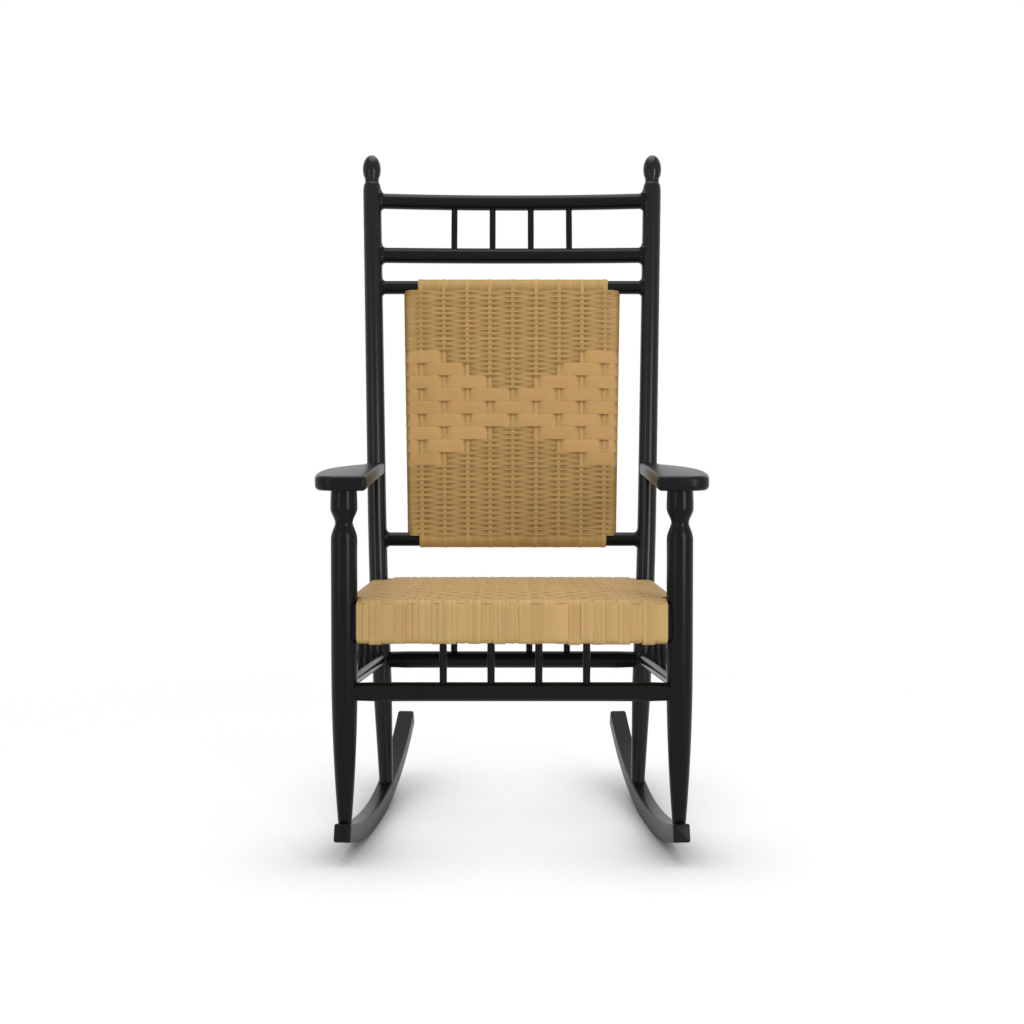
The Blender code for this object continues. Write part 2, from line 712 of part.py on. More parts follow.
def make_gallery():
    make_gallery_rail("crest_rail", CREST_HEIGHT)
    make_gallery_rail("gallery_rail", GALLERY_HEIGHT)
    receivers = [("gallery_rail", GALLERY_RAIL_RADIUS), ("crest_rail", GALLERY_RAIL_RADIUS)]
    for i, x in enumerate(spindle_places(GALLERY_SPINDLE_PITCH, GALLERY_SPINDLE_SHIFT), 1):
        low = bowed_point(GALLERY_HEIGHT, 0.5 + x / (2 * post_x(GALLERY_HEIGHT)))
        high = bowed_point(CREST_HEIGHT, 0.5 + x / (2 * post_x(CREST_HEIGHT)))
        make_spindle(f"gallery_spindle_{i}", low, high, receivers, GALLERY_SPINDLE_RADIUS)


# The woven back panel


def panel_corner(sign, height):
    """The point on an upright rod's axis at a height. The rods lean out from their middles."""
    lean = PANEL_SPLAY_SLOPE * (height - (PANEL_BOTTOM_HEIGHT + PANEL_TOP_HEIGHT) / 2)
    return at(sign * (PANEL_SIDE_X + lean), post_reach(height), height)


def make_panel_frame():
    for name, height in (("panel_top_rail", PANEL_TOP_HEIGHT), ("panel_bottom_rail", PANEL_BOTTOM_HEIGHT)):
        shares = (0.0, 0.25, 0.75, 1.0)
        points = [between(post_point(-1, height), post_point(1, height), share) for share in shares]
        make_bar(name, points, [PANEL_RAIL_RADIUS] * 4, post_ends(), RAIL_TENON_RADIUS, RAIL_TENON_LENGTH)
    receivers = [("panel_bottom_rail", PANEL_RAIL_RADIUS), ("panel_top_rail", PANEL_RAIL_RADIUS)]
    for side, sign in SIDES.items():
        low, high = (panel_corner(sign, height) for height in (PANEL_BOTTOM_HEIGHT, PANEL_TOP_HEIGHT))
        make_spindle(f"panel_side_{side}", low, high, receivers, PANEL_SIDE_RADIUS)


def panel_section(wall):
    """The panel cut level: thick between the rails and thin at the upright rods, less a wall all round."""
    thick = PANEL_RAIL_RADIUS + SLIP + PANEL_WALL - wall
    rod = PANEL_SIDE_RADIUS * SPINDLE_SWELL + SLIP + PANEL_WALL - wall
    ease = PANEL_SIDE_X - PANEL_EASE
    steps = 8
    right = [(ease, -thick)]
    for i in range(steps + 1):
        turn = math.pi * (i / steps - 0.5)
        right.append((PANEL_SIDE_X + rod * math.cos(turn), rod * math.sin(turn)))
    right.append((ease, thick))
    return right + [(-x, -y) for x, y in right]


def panel_plate(wall, length):
    """The panel standing on its middle, its halves leaning out as the upright rods do."""
    plate = plate_mesh(panel_section(wall), length)
    rise = PANEL_TOP_HEIGHT - PANEL_BOTTOM_HEIGHT
    rod_length = math.hypot(rise, post_reach(PANEL_TOP_HEIGHT) - post_reach(PANEL_BOTTOM_HEIGHT))
    lean = PANEL_SPLAY_SLOPE * rise / rod_length
    for vertex in plate.vertices:
        vertex.co.x += math.copysign(lean, vertex.co.x) * vertex.co.z
    return plate


def make_back_weave():
    low = at(0, post_reach(PANEL_BOTTOM_HEIGHT), PANEL_BOTTOM_HEIGHT)
    high = at(0, post_reach(PANEL_TOP_HEIGHT), PANEL_TOP_HEIGHT)
    rise = (high - low).normalized()
    across = Vector((1, 0, 0))
    turn = Matrix((across, rise.cross(across), rise)).transposed().to_4x4()
    place = Matrix.Translation(between(low, high, 0.5)) @ turn
    length = (high - low).length
    clear_length = length - 2 * (PANEL_RAIL_RADIUS + SLIP)
    weave = add_piece("back_weave", panel_plate(0.0, clear_length), place, RATTAN, RATTAN_ROUGHNESS)
    wrap_radius = PANEL_RAIL_RADIUS + SLIP + PANEL_WALL
    for name, height in (("top", PANEL_TOP_HEIGHT), ("bottom", PANEL_BOTTOM_HEIGHT)):
        ends = [panel_corner(sign, height) - Vector((sign * WRAP_INSET, 0, 0)) for sign in SIDES.values()]
        wrap = round_shape(*ends, wrap_radius, WRAP_SIDES)
        boolean(weave, add_cutter(f"back_weave_{name}_wrap", shapes_mesh([wrap])), "UNION")
    hollow = panel_plate(PANEL_WALL, length + PANEL_RAIL_RADIUS)
    boolean(weave, add_cutter("back_weave_hollow", hollow, place))
    past = Vector((PANEL_SIDE_X, 0, 0))
    for name, point in (("top", high), ("bottom", low)):
        rail = round_shape(point - past, point + past, PANEL_RAIL_RADIUS + SLIP / 2, WRAP_SIDES)
        boolean(weave, add_cutter(f"back_weave_{name}_rail", shapes_mesh([rail])))


# Lower stretchers and the seat


def make_stretcher(name, start, end, uprights, radius, end_radius):
    """A turned bar between two uprights' axes, thinner where it enters them."""
    length = (end - start).length
    thin = LEG_RADIUS / length
    full = thin + STRETCHER_TAPER / length
    shares = (0.0, thin, full, 0.5, 1 - full, 1 - thin, 1.0)
    radii = (end_radius, end_radius, radius, radius, radius, end_radius, end_radius)
    points = [between(start, end, share) for share in shares]
    make_bar(name, points, radii, uprights, STRETCHER_TENON_RADIUS, STRETCHER_TENON_LENGTH)


def make_stretchers():
    front = [at(sign * FRONT_LEG_X, 0, FRONT_STRETCHER_HEIGHT) for sign in SIDES.values()]
    uprights = [(f"front_leg_{side}", leg_radius(FRONT_STRETCHER_HEIGHT)) for side in SIDES]
    make_stretcher("stretcher_front", *front, uprights, STRETCHER_RADIUS, STRETCHER_END_RADIUS)
    rear = [post_point(sign, REAR_STRETCHER_HEIGHT) for sign in SIDES.values()]
    make_stretcher("stretcher_rear", *rear, post_ends(), STRETCHER_RADIUS, STRETCHER_END_RADIUS)
    for side, sign in SIDES.items():
        leg = (f"front_leg_{side}", leg_radius(SIDE_STRETCHER_FRONT_HEIGHT))
        uprights = [leg, (f"rear_post_{side}", POST_RADIUS)]
        make_stretcher(f"stretcher_{side}", *side_stretcher_line(sign), uprights,
                       SIDE_STRETCHER_RADIUS, SIDE_STRETCHER_END_RADIUS)


def side_stretcher_line(sign):
    start = at(sign * FRONT_LEG_X, 0, SIDE_STRETCHER_FRONT_HEIGHT)
    return start, post_point(sign, SIDE_STRETCHER_REAR_HEIGHT)


SEAT_TILT = math.atan(SEAT_FALL_SLOPE)
SEAT_PLACE = Matrix.Translation(at(0, 0, SEAT_TOP - SEAT_THICKNESS / 2)) @ Matrix.Rotation(-SEAT_TILT, 4, "X")
SEAT_REAR_REACH = post_reach(SEAT_TOP - SEAT_THICKNESS / 2)
SEAT_REAR_X = post_x(SEAT_TOP - SEAT_THICKNESS / 2)
SEAT_RAIL_HEIGHT = SEAT_THICKNESS - 2 * (SEAT_WALL + SLIP)
RAIL_TO_FACE = SEAT_RAIL_THICKNESS / 2 + SLIP + SEAT_WALL
FRONT_RAIL_REACH = RAIL_TO_FACE - SEAT_FRONT


def side_rail_x(reach):
    """Distance of a side rail's middle from the middle of the chair."""
    return SEAT_SIDE_FRONT_X + (SEAT_REAR_X - SEAT_SIDE_FRONT_X) * reach / SEAT_REAR_REACH


def seat_outline(inset):
    """The seat from above, in its own plane, less an inset. It is notched round the legs and the posts."""
    bay = FRONT_LEG_X - LEG_RADIUS - SLIP - inset
    notch = LEG_RADIUS + SEAT_NOTCH_EASE + inset
    front = -SEAT_FRONT + inset
    rear_notch = SEAT_REAR_REACH - POST_RADIUS - SEAT_NOTCH_EASE - inset
    side_front, side_rear = (side_rail_x(reach) + RAIL_TO_FACE - inset for reach in (notch, rear_notch))
    rear_bay = SEAT_REAR_X - POST_RADIUS - SEAT_NOTCH_EASE - inset
    rear = SEAT_REAR_REACH + RAIL_TO_FACE - inset
    corners = [(bay, front, 1), (bay, notch, 0), (side_front, notch, 1), (side_rear, rear_notch, 1),
               (rear_bay, rear_notch, 0), (rear_bay, rear, 1)]
    path = [Vector((0, front))] + [Vector((x, y)) for x, y, _ in corners] + [Vector((0, rear))]
    right = []
    for i, (_, _, rounded) in enumerate(corners, 1):
        if rounded:
            radius = SEAT_CORNER if inset == 0.0 else SEAT_CORNER / 2
            right += arc_corner(path[i], path[i - 1], path[i + 1], radius)
        else:
            right.append(path[i])
    return [(p.x, p.y) for p in right] + [(-p.x, p.y) for p in reversed(right)]


def seat_point(x, reach, height=0.0):
    return SEAT_PLACE @ Vector((x, reach, height))


def rail_place(start, end):
    """The matrix of a rail's box: +X along it from its middle, +Z up across the seat."""
    along = (end - start).normalized()
    up = SEAT_PLACE.to_3x3() @ UP
    turn = Matrix((along, up.cross(along), up)).transposed().to_4x4()
    return Matrix.Translation(between(start, end, 0.5)) @ turn


def seat_rail_lines():
    """Each rail's name: its end points on the axes of the uprights, and those uprights."""
    lines = {}
    for name, reach, x, upright, radius in (
        ("front", FRONT_RAIL_REACH, FRONT_LEG_X, "front_leg", LEG_RADIUS),
        ("rear", SEAT_REAR_REACH, SEAT_REAR_X, "rear_post", POST_RADIUS),
    ):
        uprights = [(f"{upright}_{side}", radius) for side in SIDES]
        lines[name] = (seat_point(-x, reach), seat_point(x, reach), uprights)
    for side, sign in SIDES.items():
        uprights = [(f"front_leg_{side}", LEG_RADIUS), (f"rear_post_{side}", POST_RADIUS)]
        start = seat_point(sign * SEAT_SIDE_FRONT_X, 0)
        lines[side] = (start, seat_point(sign * SEAT_REAR_X, SEAT_REAR_REACH), uprights)
    return lines


def make_seat_rails():
    section = (SEAT_RAIL_THICKNESS, SEAT_RAIL_HEIGHT)
    tenon = (2 * SEAT_TENON_LENGTH, SEAT_TENON_THICKNESS, SEAT_TENON_HEIGHT)
    mortise = [size + 2 * GAP for size in tenon]
    mouth = (3 * SEAT_WALL + 2 * SEAT_CORNER, *(size + 2 * GAP for size in section))
    for name, (start, end, uprights) in seat_rail_lines().items():
        place = rail_place(start, end)
        length = (end - start).length
        box = shapes_mesh([box_shape(Matrix(), (length, *section))])
        rail = add_piece(f"seat_rail_{name}", box, place)
        tenons = []
        for (upright, radius), towards_end in zip(uprights, (-1, 1)):
            boolean(rail, bpy.data.objects[f"{upright}_clearance"])
            surface = length / 2 - radius
            middle = Matrix.Translation((towards_end * surface, 0, 0))
            tenons.append(box_shape(place @ middle, tenon))
            bores.setdefault(upright, []).append(box_shape(place @ middle, mortise))
            bores.setdefault("seat_weave", []).append(box_shape(place @ middle, mouth))
        boolean(rail, add_cutter(f"seat_rail_{name}_tenons", shapes_mesh(tenons)), "UNION")


def make_seat_weave():
    centre = (0.0, (SEAT_REAR_REACH - SEAT_FRONT) / 2)
    face = SEAT_THICKNESS / 2
    rim = []
    for turn in (0.0, math.pi / 4, math.pi / 2):
        inset = SEAT_EDGE / SEAT_REAR_X * (1 - math.cos(turn))
        rim.append((1 - inset, face - SEAT_EDGE * (1 - math.sin(turn))))
    underside = [(SEAT_CROWN_SHARES[0], -face)] + [(scale, -height) for scale, height in reversed(rim)]
    crown = [(scale, face + SEAT_CROWN * (1 - scale**2)) for scale in SEAT_CROWN_SHARES]
    cover = stacked_mesh(seat_outline(0.0), centre, underside + rim + crown)
    weave = add_piece("seat_weave", cover, SEAT_PLACE, RATTAN, RATTAN_ROUGHNESS)
    inner_face = face - SEAT_WALL
    inner_levels = [(SEAT_CROWN_SHARES[0], -inner_face), (1.0, -inner_face), (1.0, inner_face)]
    inner_levels += [(SEAT_CROWN_SHARES[0], inner_face + SEAT_CROWN / 2)]
    hollow = stacked_mesh(seat_outline(SEAT_WALL), centre, inner_levels)
    boolean(weave, add_cutter("seat_weave_hollow", hollow, SEAT_PLACE))


def make_seat_spindles():
    rail_depth = SEAT_RAIL_HEIGHT / 2
    lines = seat_rail_lines()
    for name, reach, height, pitch, shift in (
        ("front", 0.0, FRONT_STRETCHER_HEIGHT, FRONT_SPINDLE_PITCH, FRONT_SPINDLE_SHIFT),
        ("rear", post_reach(REAR_STRETCHER_HEIGHT), REAR_STRETCHER_HEIGHT, REAR_SPINDLE_PITCH,
         REAR_SPINDLE_SHIFT),
    ):
        receivers = [(f"stretcher_{name}", STRETCHER_RADIUS), (f"seat_rail_{name}", rail_depth)]
        rail_reach = FRONT_RAIL_REACH if name == "front" else SEAT_REAR_REACH
        for i, x in enumerate(spindle_places(pitch, shift), 1):
            low, high = at(x, reach, height), seat_point(x, rail_reach)
            make_spindle(f"{name}_spindle_{i}", low, high, receivers, covers=["seat_weave"])
    for side, sign in SIDES.items():
        receivers = [(f"stretcher_{side}", SIDE_STRETCHER_RADIUS), (f"seat_rail_{side}", rail_depth)]
        low_start, low_end = side_stretcher_line(sign)
        high_start, high_end, _ = lines[side]
        for i, reach in enumerate(spindle_places(SIDE_SPINDLE_PITCH), 1):
            share = 0.5 + reach / (low_end - low_start).length
            low, high = between(low_start, low_end, share), between(high_start, high_end, share)
            make_spindle(f"{side}_spindle_{i}", low, high, receivers, covers=["seat_weave"])


# Screws


def make_screw(name, head, tip, pieces):
    """A countersunk screw from its head's outer face to its tip, and its holes in what it joins."""
    length = (tip - head).length
    profile = [(0, length), (SCREW_TIP_RADIUS, length - SCREW_TIP_RADIUS)]
    profile += [(SCREW_SHANK_RADIUS, length - SCREW_TIP_LENGTH), (SCREW_SHANK_RADIUS, SCREW_HEAD_LENGTH)]
    profile += [(SCREW_HEAD_RADIUS, SCREW_HEAD_RIM), (SCREW_HEAD_RADIUS, 0), (0, 0)]
    add_piece(name, turned_mesh(profile, SCREW_SIDES), aim(head, tip), STEEL, STEEL_ROUGHNESS, 1.0)
    for piece in pieces:
        bore(piece, head, tip, SCREW_SHANK_RADIUS, SCREW_SIDES)
    outside = toward(head, tip, -SCREW_LEAD)
    bore(pieces[0], outside, toward(head, tip, SCREW_HEAD_LENGTH), SCREW_HEAD_RADIUS, SCREW_SIDES)


def make_screws():
    for side, sign in SIDES.items():
        under_front = at(sign * FRONT_LEG_X, 0, LEG_FOOT_HEIGHT - ROCKER_HEIGHT)
        under_rear = post_point(sign, POST_FOOT_HEIGHT - ROCKER_HEIGHT)
        for end, upright, point, direction in (
            ("front", "front_leg", under_front, UP),
            ("rear", "rear_post", under_rear, post_direction(sign, POST_FOOT_HEIGHT)),
        ):
            head = point + direction * SCREW_RECESS
            tip = head + direction * ROCKER_SCREW_LENGTH
            make_screw(f"rocker_screw_{end}_{side}", head, tip, [f"rocker_{side}", f"{upright}_{side}"])
        middle = post_point(sign, ARM_TOP - ARM_THICKNESS / 2)
        head = middle + Vector((0, POST_RADIUS - SCREW_RECESS, 0))
        tip = head - Vector((0, ARM_SCREW_LENGTH, 0))
        make_screw(f"arm_screw_{side}", head, tip, [f"rear_post_{side}", f"arm_{side}"])


def main():
    for side, sign in SIDES.items():
        make_rocker(side, sign)
        make_front_leg(side, sign)
        make_rear_post(side, sign)
        make_arm(side, sign)
    make_gallery()
    make_panel_frame()
    make_back_weave()
    make_stretchers()
    make_seat_rails()
    make_seat_weave()
    make_seat_spindles()
    make_screws()
    cut_bores()


main()
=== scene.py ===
"""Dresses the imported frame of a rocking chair: satin black paint, woven rattan back and seat, a plain studio.

Metres, +Z up, with the chair facing -Y. A reach is a distance behind the axes of the front legs, and a
side is -1 on the left and 1 on the right, as seen from the front.
"""

import logging
import math
import random
from collections.abc import Callable, Sequence
from dataclasses import dataclass, field
from enum import Enum

import bmesh
import bpy
from mathutils import Matrix, Vector


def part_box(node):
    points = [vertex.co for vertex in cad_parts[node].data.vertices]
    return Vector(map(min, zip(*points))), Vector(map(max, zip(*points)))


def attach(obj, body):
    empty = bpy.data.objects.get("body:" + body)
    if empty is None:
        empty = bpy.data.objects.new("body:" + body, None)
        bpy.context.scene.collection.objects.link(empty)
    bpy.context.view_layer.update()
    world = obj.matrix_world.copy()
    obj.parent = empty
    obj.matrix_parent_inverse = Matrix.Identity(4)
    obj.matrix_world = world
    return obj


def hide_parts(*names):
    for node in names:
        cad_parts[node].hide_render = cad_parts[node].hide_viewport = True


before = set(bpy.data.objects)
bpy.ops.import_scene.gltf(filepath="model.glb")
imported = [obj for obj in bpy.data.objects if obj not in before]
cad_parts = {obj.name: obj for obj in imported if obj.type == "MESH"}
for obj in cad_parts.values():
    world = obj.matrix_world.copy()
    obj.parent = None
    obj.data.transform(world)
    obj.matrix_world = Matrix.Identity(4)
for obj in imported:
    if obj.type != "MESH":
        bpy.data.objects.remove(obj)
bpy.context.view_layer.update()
LOG = logging.getLogger("rocking_chair")

SIDES = {"left": -1, "right": 1}
ACROSS = Vector((1, 0, 0))
UP = Vector((0, 0, 1))

# How closely a reed's painted shade keeps to its upper edge, where it stands for the shadow of the band above.
EDGE_SHADE_POWER = 2.5
BAR_SIDES = 36
SPINDLE_SIDES = 24
SPINDLE_SWELL = 0.06

Colour = tuple[float, float, float]
Section = list[tuple[float, float]]
Wave = Callable[[float], float]


def leg_axis() -> Vector:
    """Finds where the right front leg stands.

    Returns:
        A point on the leg's axis.
    """
    low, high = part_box("front_leg_right")
    return (low + high) / 2


LEG_X = leg_axis().x
FRONT_Y = leg_axis().y


def at(x: float, reach: float, height: float) -> Vector:
    """Places a point in the chair's frame.

    Args:
        x: Distance to the right of the chair's middle.
        reach: Distance behind the front legs' axes.
        height: Height above the floor.

    Returns:
        The point.
    """
    return Vector((x, FRONT_Y + reach, height))


def smoothstep(low: float, high: float, value: float) -> float:
    """Eases from 0 to 1 as a value goes from low to high.

    Args:
        low: Where the easing starts.
        high: Where it ends.
        value: Where it is read.

    Returns:
        A share from 0 to 1.
    """
    share = min(1.0, max(0.0, (value - low) / (high - low)))
    return share * share * (3 - 2 * share)


def steps_between(low: float, high: float, count: int) -> list[float]:
    """Divides a range evenly.

    Args:
        low: First value.
        high: Last value.
        count: Number of steps.

    Returns:
        count + 1 values, both ends among them.
    """
    return [low + (high - low) * i / count for i in range(count + 1)]


# Sections of bars and reeds


def round_section(radius: float, sides: int, swell: float = 0.0) -> Section:
    """Makes a round section.

    Args:
        radius: Its radius.
        sides: Number of corners.
        swell: How much further it goes across.

    Returns:
        Its corners, as (across, facing) pairs.
    """
    turns = [2 * math.pi * i / sides for i in range(sides)]
    return [((radius + swell) * math.cos(turn), radius * math.sin(turn)) for turn in turns]


def plank_section(width: float, height: float, edge: float, steps: int = 4) -> Section:
    """Makes a rectangle with rounded corners.

    Args:
        width: Size across.
        height: Size in the facing direction.
        edge: Radius of the corners.
        steps: Number of facets in a corner.

    Returns:
        Its corners, as (across, facing) pairs.
    """
    section = []
    for quarter, (x, y) in enumerate(((1, 1), (-1, 1), (-1, -1), (1, -1))):
        for i in range(steps + 1):
            turn = math.pi / 2 * (quarter + i / steps)
            across = x * (width / 2 - edge) + edge * math.cos(turn)
            section.append((across, y * (height / 2 - edge) + edge * math.sin(turn)))
    return section


@dataclass(frozen=True)
class Station:
    """A place along a bar or reed: its middle, the direction of its width, and the way its face looks."""

    middle: Vector
    across: Vector
    facing: Vector


def bar_stations(points: Sequence[Vector], across: Vector) -> list[Station]:
    """Sets cross-sections square to a line of points.

    Args:
        points: The bar's axis.
        across: A direction that the section's width keeps to, as near as the line allows.

    Returns:
        One station for each point.
    """
    stations = []
    for i, point in enumerate(points):
        along = (points[min(i + 1, len(points) - 1)] - points[max(i - 1, 0)]).normalized()
        side = (across - along * across.dot(along)).normalized()
        stations.append(Station(point, side, along.cross(side)))
    return stations


def loop_stations(points: Sequence[Vector], across: Vector, closed: bool) -> list[Station]:
    """Sets cross-sections along a reed that lies flat on a form, with its width in one direction.

    Args:
        points: The reed's middle line.
        across: The direction of the reed's width.
        closed: Whether the line runs back into its start.

    Returns:
        One station for each point, facing along x across.
    """
    last = len(points) - 1
    stations = []
    for i, point in enumerate(points):
        before = points[i - 1] if i or closed else point
        after = points[(i + 1) % len(points)] if i < last or closed else point
        stations.append(Station(point, across, (after - before).cross(across).normalized()))
    return stations


@dataclass(frozen=True)
class Tone:
    """How one reed differs from the next: how light it is, and how pink rather than green. Both 0 to 1."""

    light: float = 0.5
    pink: float = 0.5


@dataclass
class Skin:
    """Gathers bars and reeds into one mesh, with a fibre map whose U runs along each of them."""

    points: list[Vector] = field(default_factory=list)
    faces: list[tuple[int, ...]] = field(default_factory=list)
    fibres: list[tuple[float, float]] = field(default_factory=list)
    # Per point: the tone's lightness and pinkness, the painted shade in the reed's dips, and 1.
    strands: list[tuple[float, float, float, float]] = field(default_factory=list)

    def add(
        self,
        stations: Sequence[Station],
        sections: Sequence[Section],
        closed: bool = False,
        tone: Tone = Tone(),
        painted_dip_shade: Sequence[float] = (),
        edge_shade: float = 0.0,
    ) -> None:
        """Adds one bar or reed.

        Args:
            stations: Its places, in order.
            sections: Its section at each of them, all with the same number of corners.
            closed: Whether its end joins its start.
            tone: Its colour among its neighbours.
            painted_dip_shade: Painted shade at each station, as deep as it dips under its neighbours there, from 0 to
                1.
            edge_shade: How much of that painted shade lies on one edge only, from 0 to 1.
        """
        first = len(self.points)
        sides = len(sections[0])
        along = random.Random(first).uniform(0, 5)
        lengths = [along]
        for station, after in zip(stations, [*stations[1:], stations[0]]):
            along += (after.middle - station.middle).length
            lengths.append(along)
        for i, (station, section) in enumerate(zip(stations, sections)):
            half = max(a for a, _ in section)
            for a, b in section:
                self.points.append(station.middle + station.across * a + station.facing * b)
                # Painted shade: the reed is darkened where it dips under its neighbours, and on its upper edge as
                # much as edge_shade asks.
                shade = 1 - edge_shade + edge_shade * ((1 + a / half) / 2) ** EDGE_SHADE_POWER
                self.strands.append((tone.light, tone.pink, painted_dip_shade[i] * shade if painted_dip_shade else 0.0, 1.0))
        girth = sum(math.dist(sections[0][k], sections[0][k - 1]) for k in range(sides)) / sides
        for i in range(len(stations) if closed else len(stations) - 1):
            row = first + i * sides
            ahead = first + (i + 1) % len(stations) * sides
            for k in range(sides):
                m = (k + 1) % sides
                self.faces.append((row + k, row + m, ahead + m, ahead + k))
                low, high = k * girth, (k + 1) * girth
                self.fibres += [(lengths[i], low), (lengths[i], high)]
                self.fibres += [(lengths[i + 1], high), (lengths[i + 1], low)]
        if not closed:
            self.faces.append(tuple(range(first + sides - 1, first - 1, -1)))
            self.fibres += [(b, a) for a, b in reversed(sections[0])]
            end = len(self.points) - sides
            self.faces.append(tuple(range(end, end + sides)))
            self.fibres += [(b, a) for a, b in sections[-1]]

    def build(self, name: str, sharp_angle: float = 42.0) -> bpy.types.Object:
        """Turns what was gathered into an object.

        Args:
            name: The object's name.
            sharp_angle: Angle in degrees past which an edge stays sharp.

        Returns:
            The object, in the scene.
        """
        mesh = bpy.data.meshes.new(name)
        mesh.from_pydata(self.points, [], self.faces)
        fibre_map = mesh.uv_layers.new(name="fibre")
        fibre_map.data.foreach_set("uv", [value for place in self.fibres for value in place])
        strand = mesh.color_attributes.new(name="strand", type="FLOAT_COLOR", domain="POINT")
        strand.data.foreach_set("color", [value for colour in self.strands for value in colour])
        work = bmesh.new()
        work.from_mesh(mesh)
        bmesh.ops.recalc_face_normals(work, faces=work.faces)
        work.to_mesh(mesh)
        work.free()
        mesh.shade_smooth()
        mesh.set_sharp_from_angle(angle=math.radians(sharp_angle))
        piece = bpy.data.objects.new(name, mesh)
        bpy.context.scene.collection.objects.link(piece)
        return piece


# Finishes


class Fibres(Enum):
    """Where a finish takes the run of its grain from."""

    ALONG_PIECE = "fibre"
    IN_SPACE = "object"


class Finish(Enum):
    """What a piece is finished in."""

    PAINT = "paint"
    POST_PAINT = "post_paint"
    WORN_PAINT = "worn_paint"
    INNER_PAINT = "inner_paint"
    STEEL = "steel"
    STAKE_REED = "stake_reed"
    FLAT_REED = "flat_reed"
    WIDE_REED = "wide_reed"
    FINE_REED = "fine_reed"


class Wiring:
    """Adds nodes to one node tree and joins them."""

    def __init__(self, tree: bpy.types.NodeTree) -> None:
        """Starts on a tree.

        Args:
            tree: The tree to fill.
        """
        self.tree = tree

    def node(self, kind: str, values: dict[str, object] | None = None, **settings: object) -> bpy.types.Node:
        """Adds a node.

        Args:
            kind: Its type, without the ShaderNode in front.
            values: Values for its inputs, by name.
            settings: Values for its own properties.

        Returns:
            The node.
        """
        made = self.tree.nodes.new(f"ShaderNode{kind}")
        for name, value in settings.items():
            setattr(made, name, value)
        for name, value in (values or {}).items():
            made.inputs[name].default_value = value
        return made

    def join(self, output: bpy.types.NodeSocket, target: bpy.types.NodeSocket) -> None:
        """Joins two sockets.

        Args:
            output: Where the value comes from.
            target: Where it goes.
        """
        self.tree.links.new(output, target)

    def math(self, operation: str, first: object, second: object) -> bpy.types.NodeSocket:
        """Adds a sum on two values.

        Args:
            operation: Blender's name of the sum.
            first: A socket or a number.
            second: A socket or a number.

        Returns:
            The result's socket.
        """
        made = self.node("Math", operation=operation)
        for target, value in zip(made.inputs, (first, second)):
            if isinstance(value, bpy.types.NodeSocket):
                self.join(value, target)
            else:
                target.default_value = value
        return made.outputs[0]

    def mix(self, share: object, first: object, second: object) -> bpy.types.NodeSocket:
        """Adds a mix of two colours.

        Args:
            share: A socket or number, 0 for the first colour and 1 for the second.
            first: A socket or an RGB colour.
            second: A socket or an RGB colour.

        Returns:
            The mixed colour's socket.
        """
        made = self.node("Mix", data_type="RGBA")
        for target, value in zip((made.inputs[0], made.inputs[6], made.inputs[7]), (share, first, second)):
            if isinstance(value, bpy.types.NodeSocket):
                self.join(value, target)
            else:
                target.default_value = (*value, 1.0) if isinstance(value, tuple) else value
        return made.outputs[2]

    def multiply(self, first: bpy.types.NodeSocket, second: bpy.types.NodeSocket) -> bpy.types.NodeSocket:
        """Adds a product of two colours.

        Args:
            first: A colour's socket.
            second: A colour's socket.

        Returns:
            The product's socket.
        """
        made = self.node("Mix", data_type="RGBA", blend_type="MULTIPLY")
        made.inputs[0].default_value = 1.0
        self.join(first, made.inputs[6])
        self.join(second, made.inputs[7])
        return made.outputs[2]


Effect = tuple[bpy.types.NodeTree, Wiring, bpy.types.Node, bpy.types.Node]


def new_effect(name: str, inputs: dict[str, float | None], outputs: Sequence[str]) -> Effect:
    """Starts a shader node group.

    Args:
        name: The group's name.
        inputs: Its inputs by name, with a number's default value, or None for a vector.
        outputs: Names of the values that it puts out.

    Returns:
        The group, its wiring, its input node and its output node.
    """
    group = bpy.data.node_groups.new(name, "ShaderNodeTree")
    for label, value in inputs.items():
        kind = "NodeSocketVector" if value is None else "NodeSocketFloat"
        socket = group.interface.new_socket(name=label, in_out="INPUT", socket_type=kind)
        if value is not None:
            socket.default_value = value
    for label in outputs:
        group.interface.new_socket(name=label, in_out="OUTPUT", socket_type="NodeSocketFloat")
    wiring = Wiring(group)
    source = group.nodes.new("NodeGroupInput")
    sink = group.nodes.new("NodeGroupOutput")
    return group, wiring, source, sink


def make_long_grain() -> bpy.types.NodeTree:
    """Builds the effect of fine lines that run along a piece.

    Returns:
        The node group: streaks and a height, both 0 to 1.
    """
    inputs = {"Place": None, "Line Length": 0.05, "Line Width": 0.001, "Contrast": 1.0}
    group, wiring, source, sink = new_effect("long_grain", inputs, ("Streaks", "Height"))
    parts = wiring.node("SeparateXYZ")
    wiring.join(source.outputs["Place"], parts.inputs[0])
    along = wiring.math("DIVIDE", parts.outputs["X"], source.outputs["Line Length"])
    across = wiring.math("DIVIDE", parts.outputs["Y"], source.outputs["Line Width"])
    depth = wiring.math("DIVIDE", parts.outputs["Z"], source.outputs["Line Width"])
    place = wiring.node("CombineXYZ")
    for value, name in ((along, "X"), (across, "Y"), (depth, "Z")):
        wiring.join(value, place.inputs[name])
    noise = wiring.node("TexNoise", {"Scale": 1.0, "Detail": 3.0, "Roughness": 0.6})
    wiring.join(place.outputs[0], noise.inputs["Vector"])
    centred = wiring.math("SUBTRACT", noise.outputs["Fac"], 0.5)
    spread = wiring.math("MULTIPLY", centred, source.outputs["Contrast"])
    wiring.join(wiring.math("ADD", spread, 0.5), sink.inputs["Streaks"])
    wiring.join(noise.outputs["Fac"], sink.inputs["Height"])
    return group


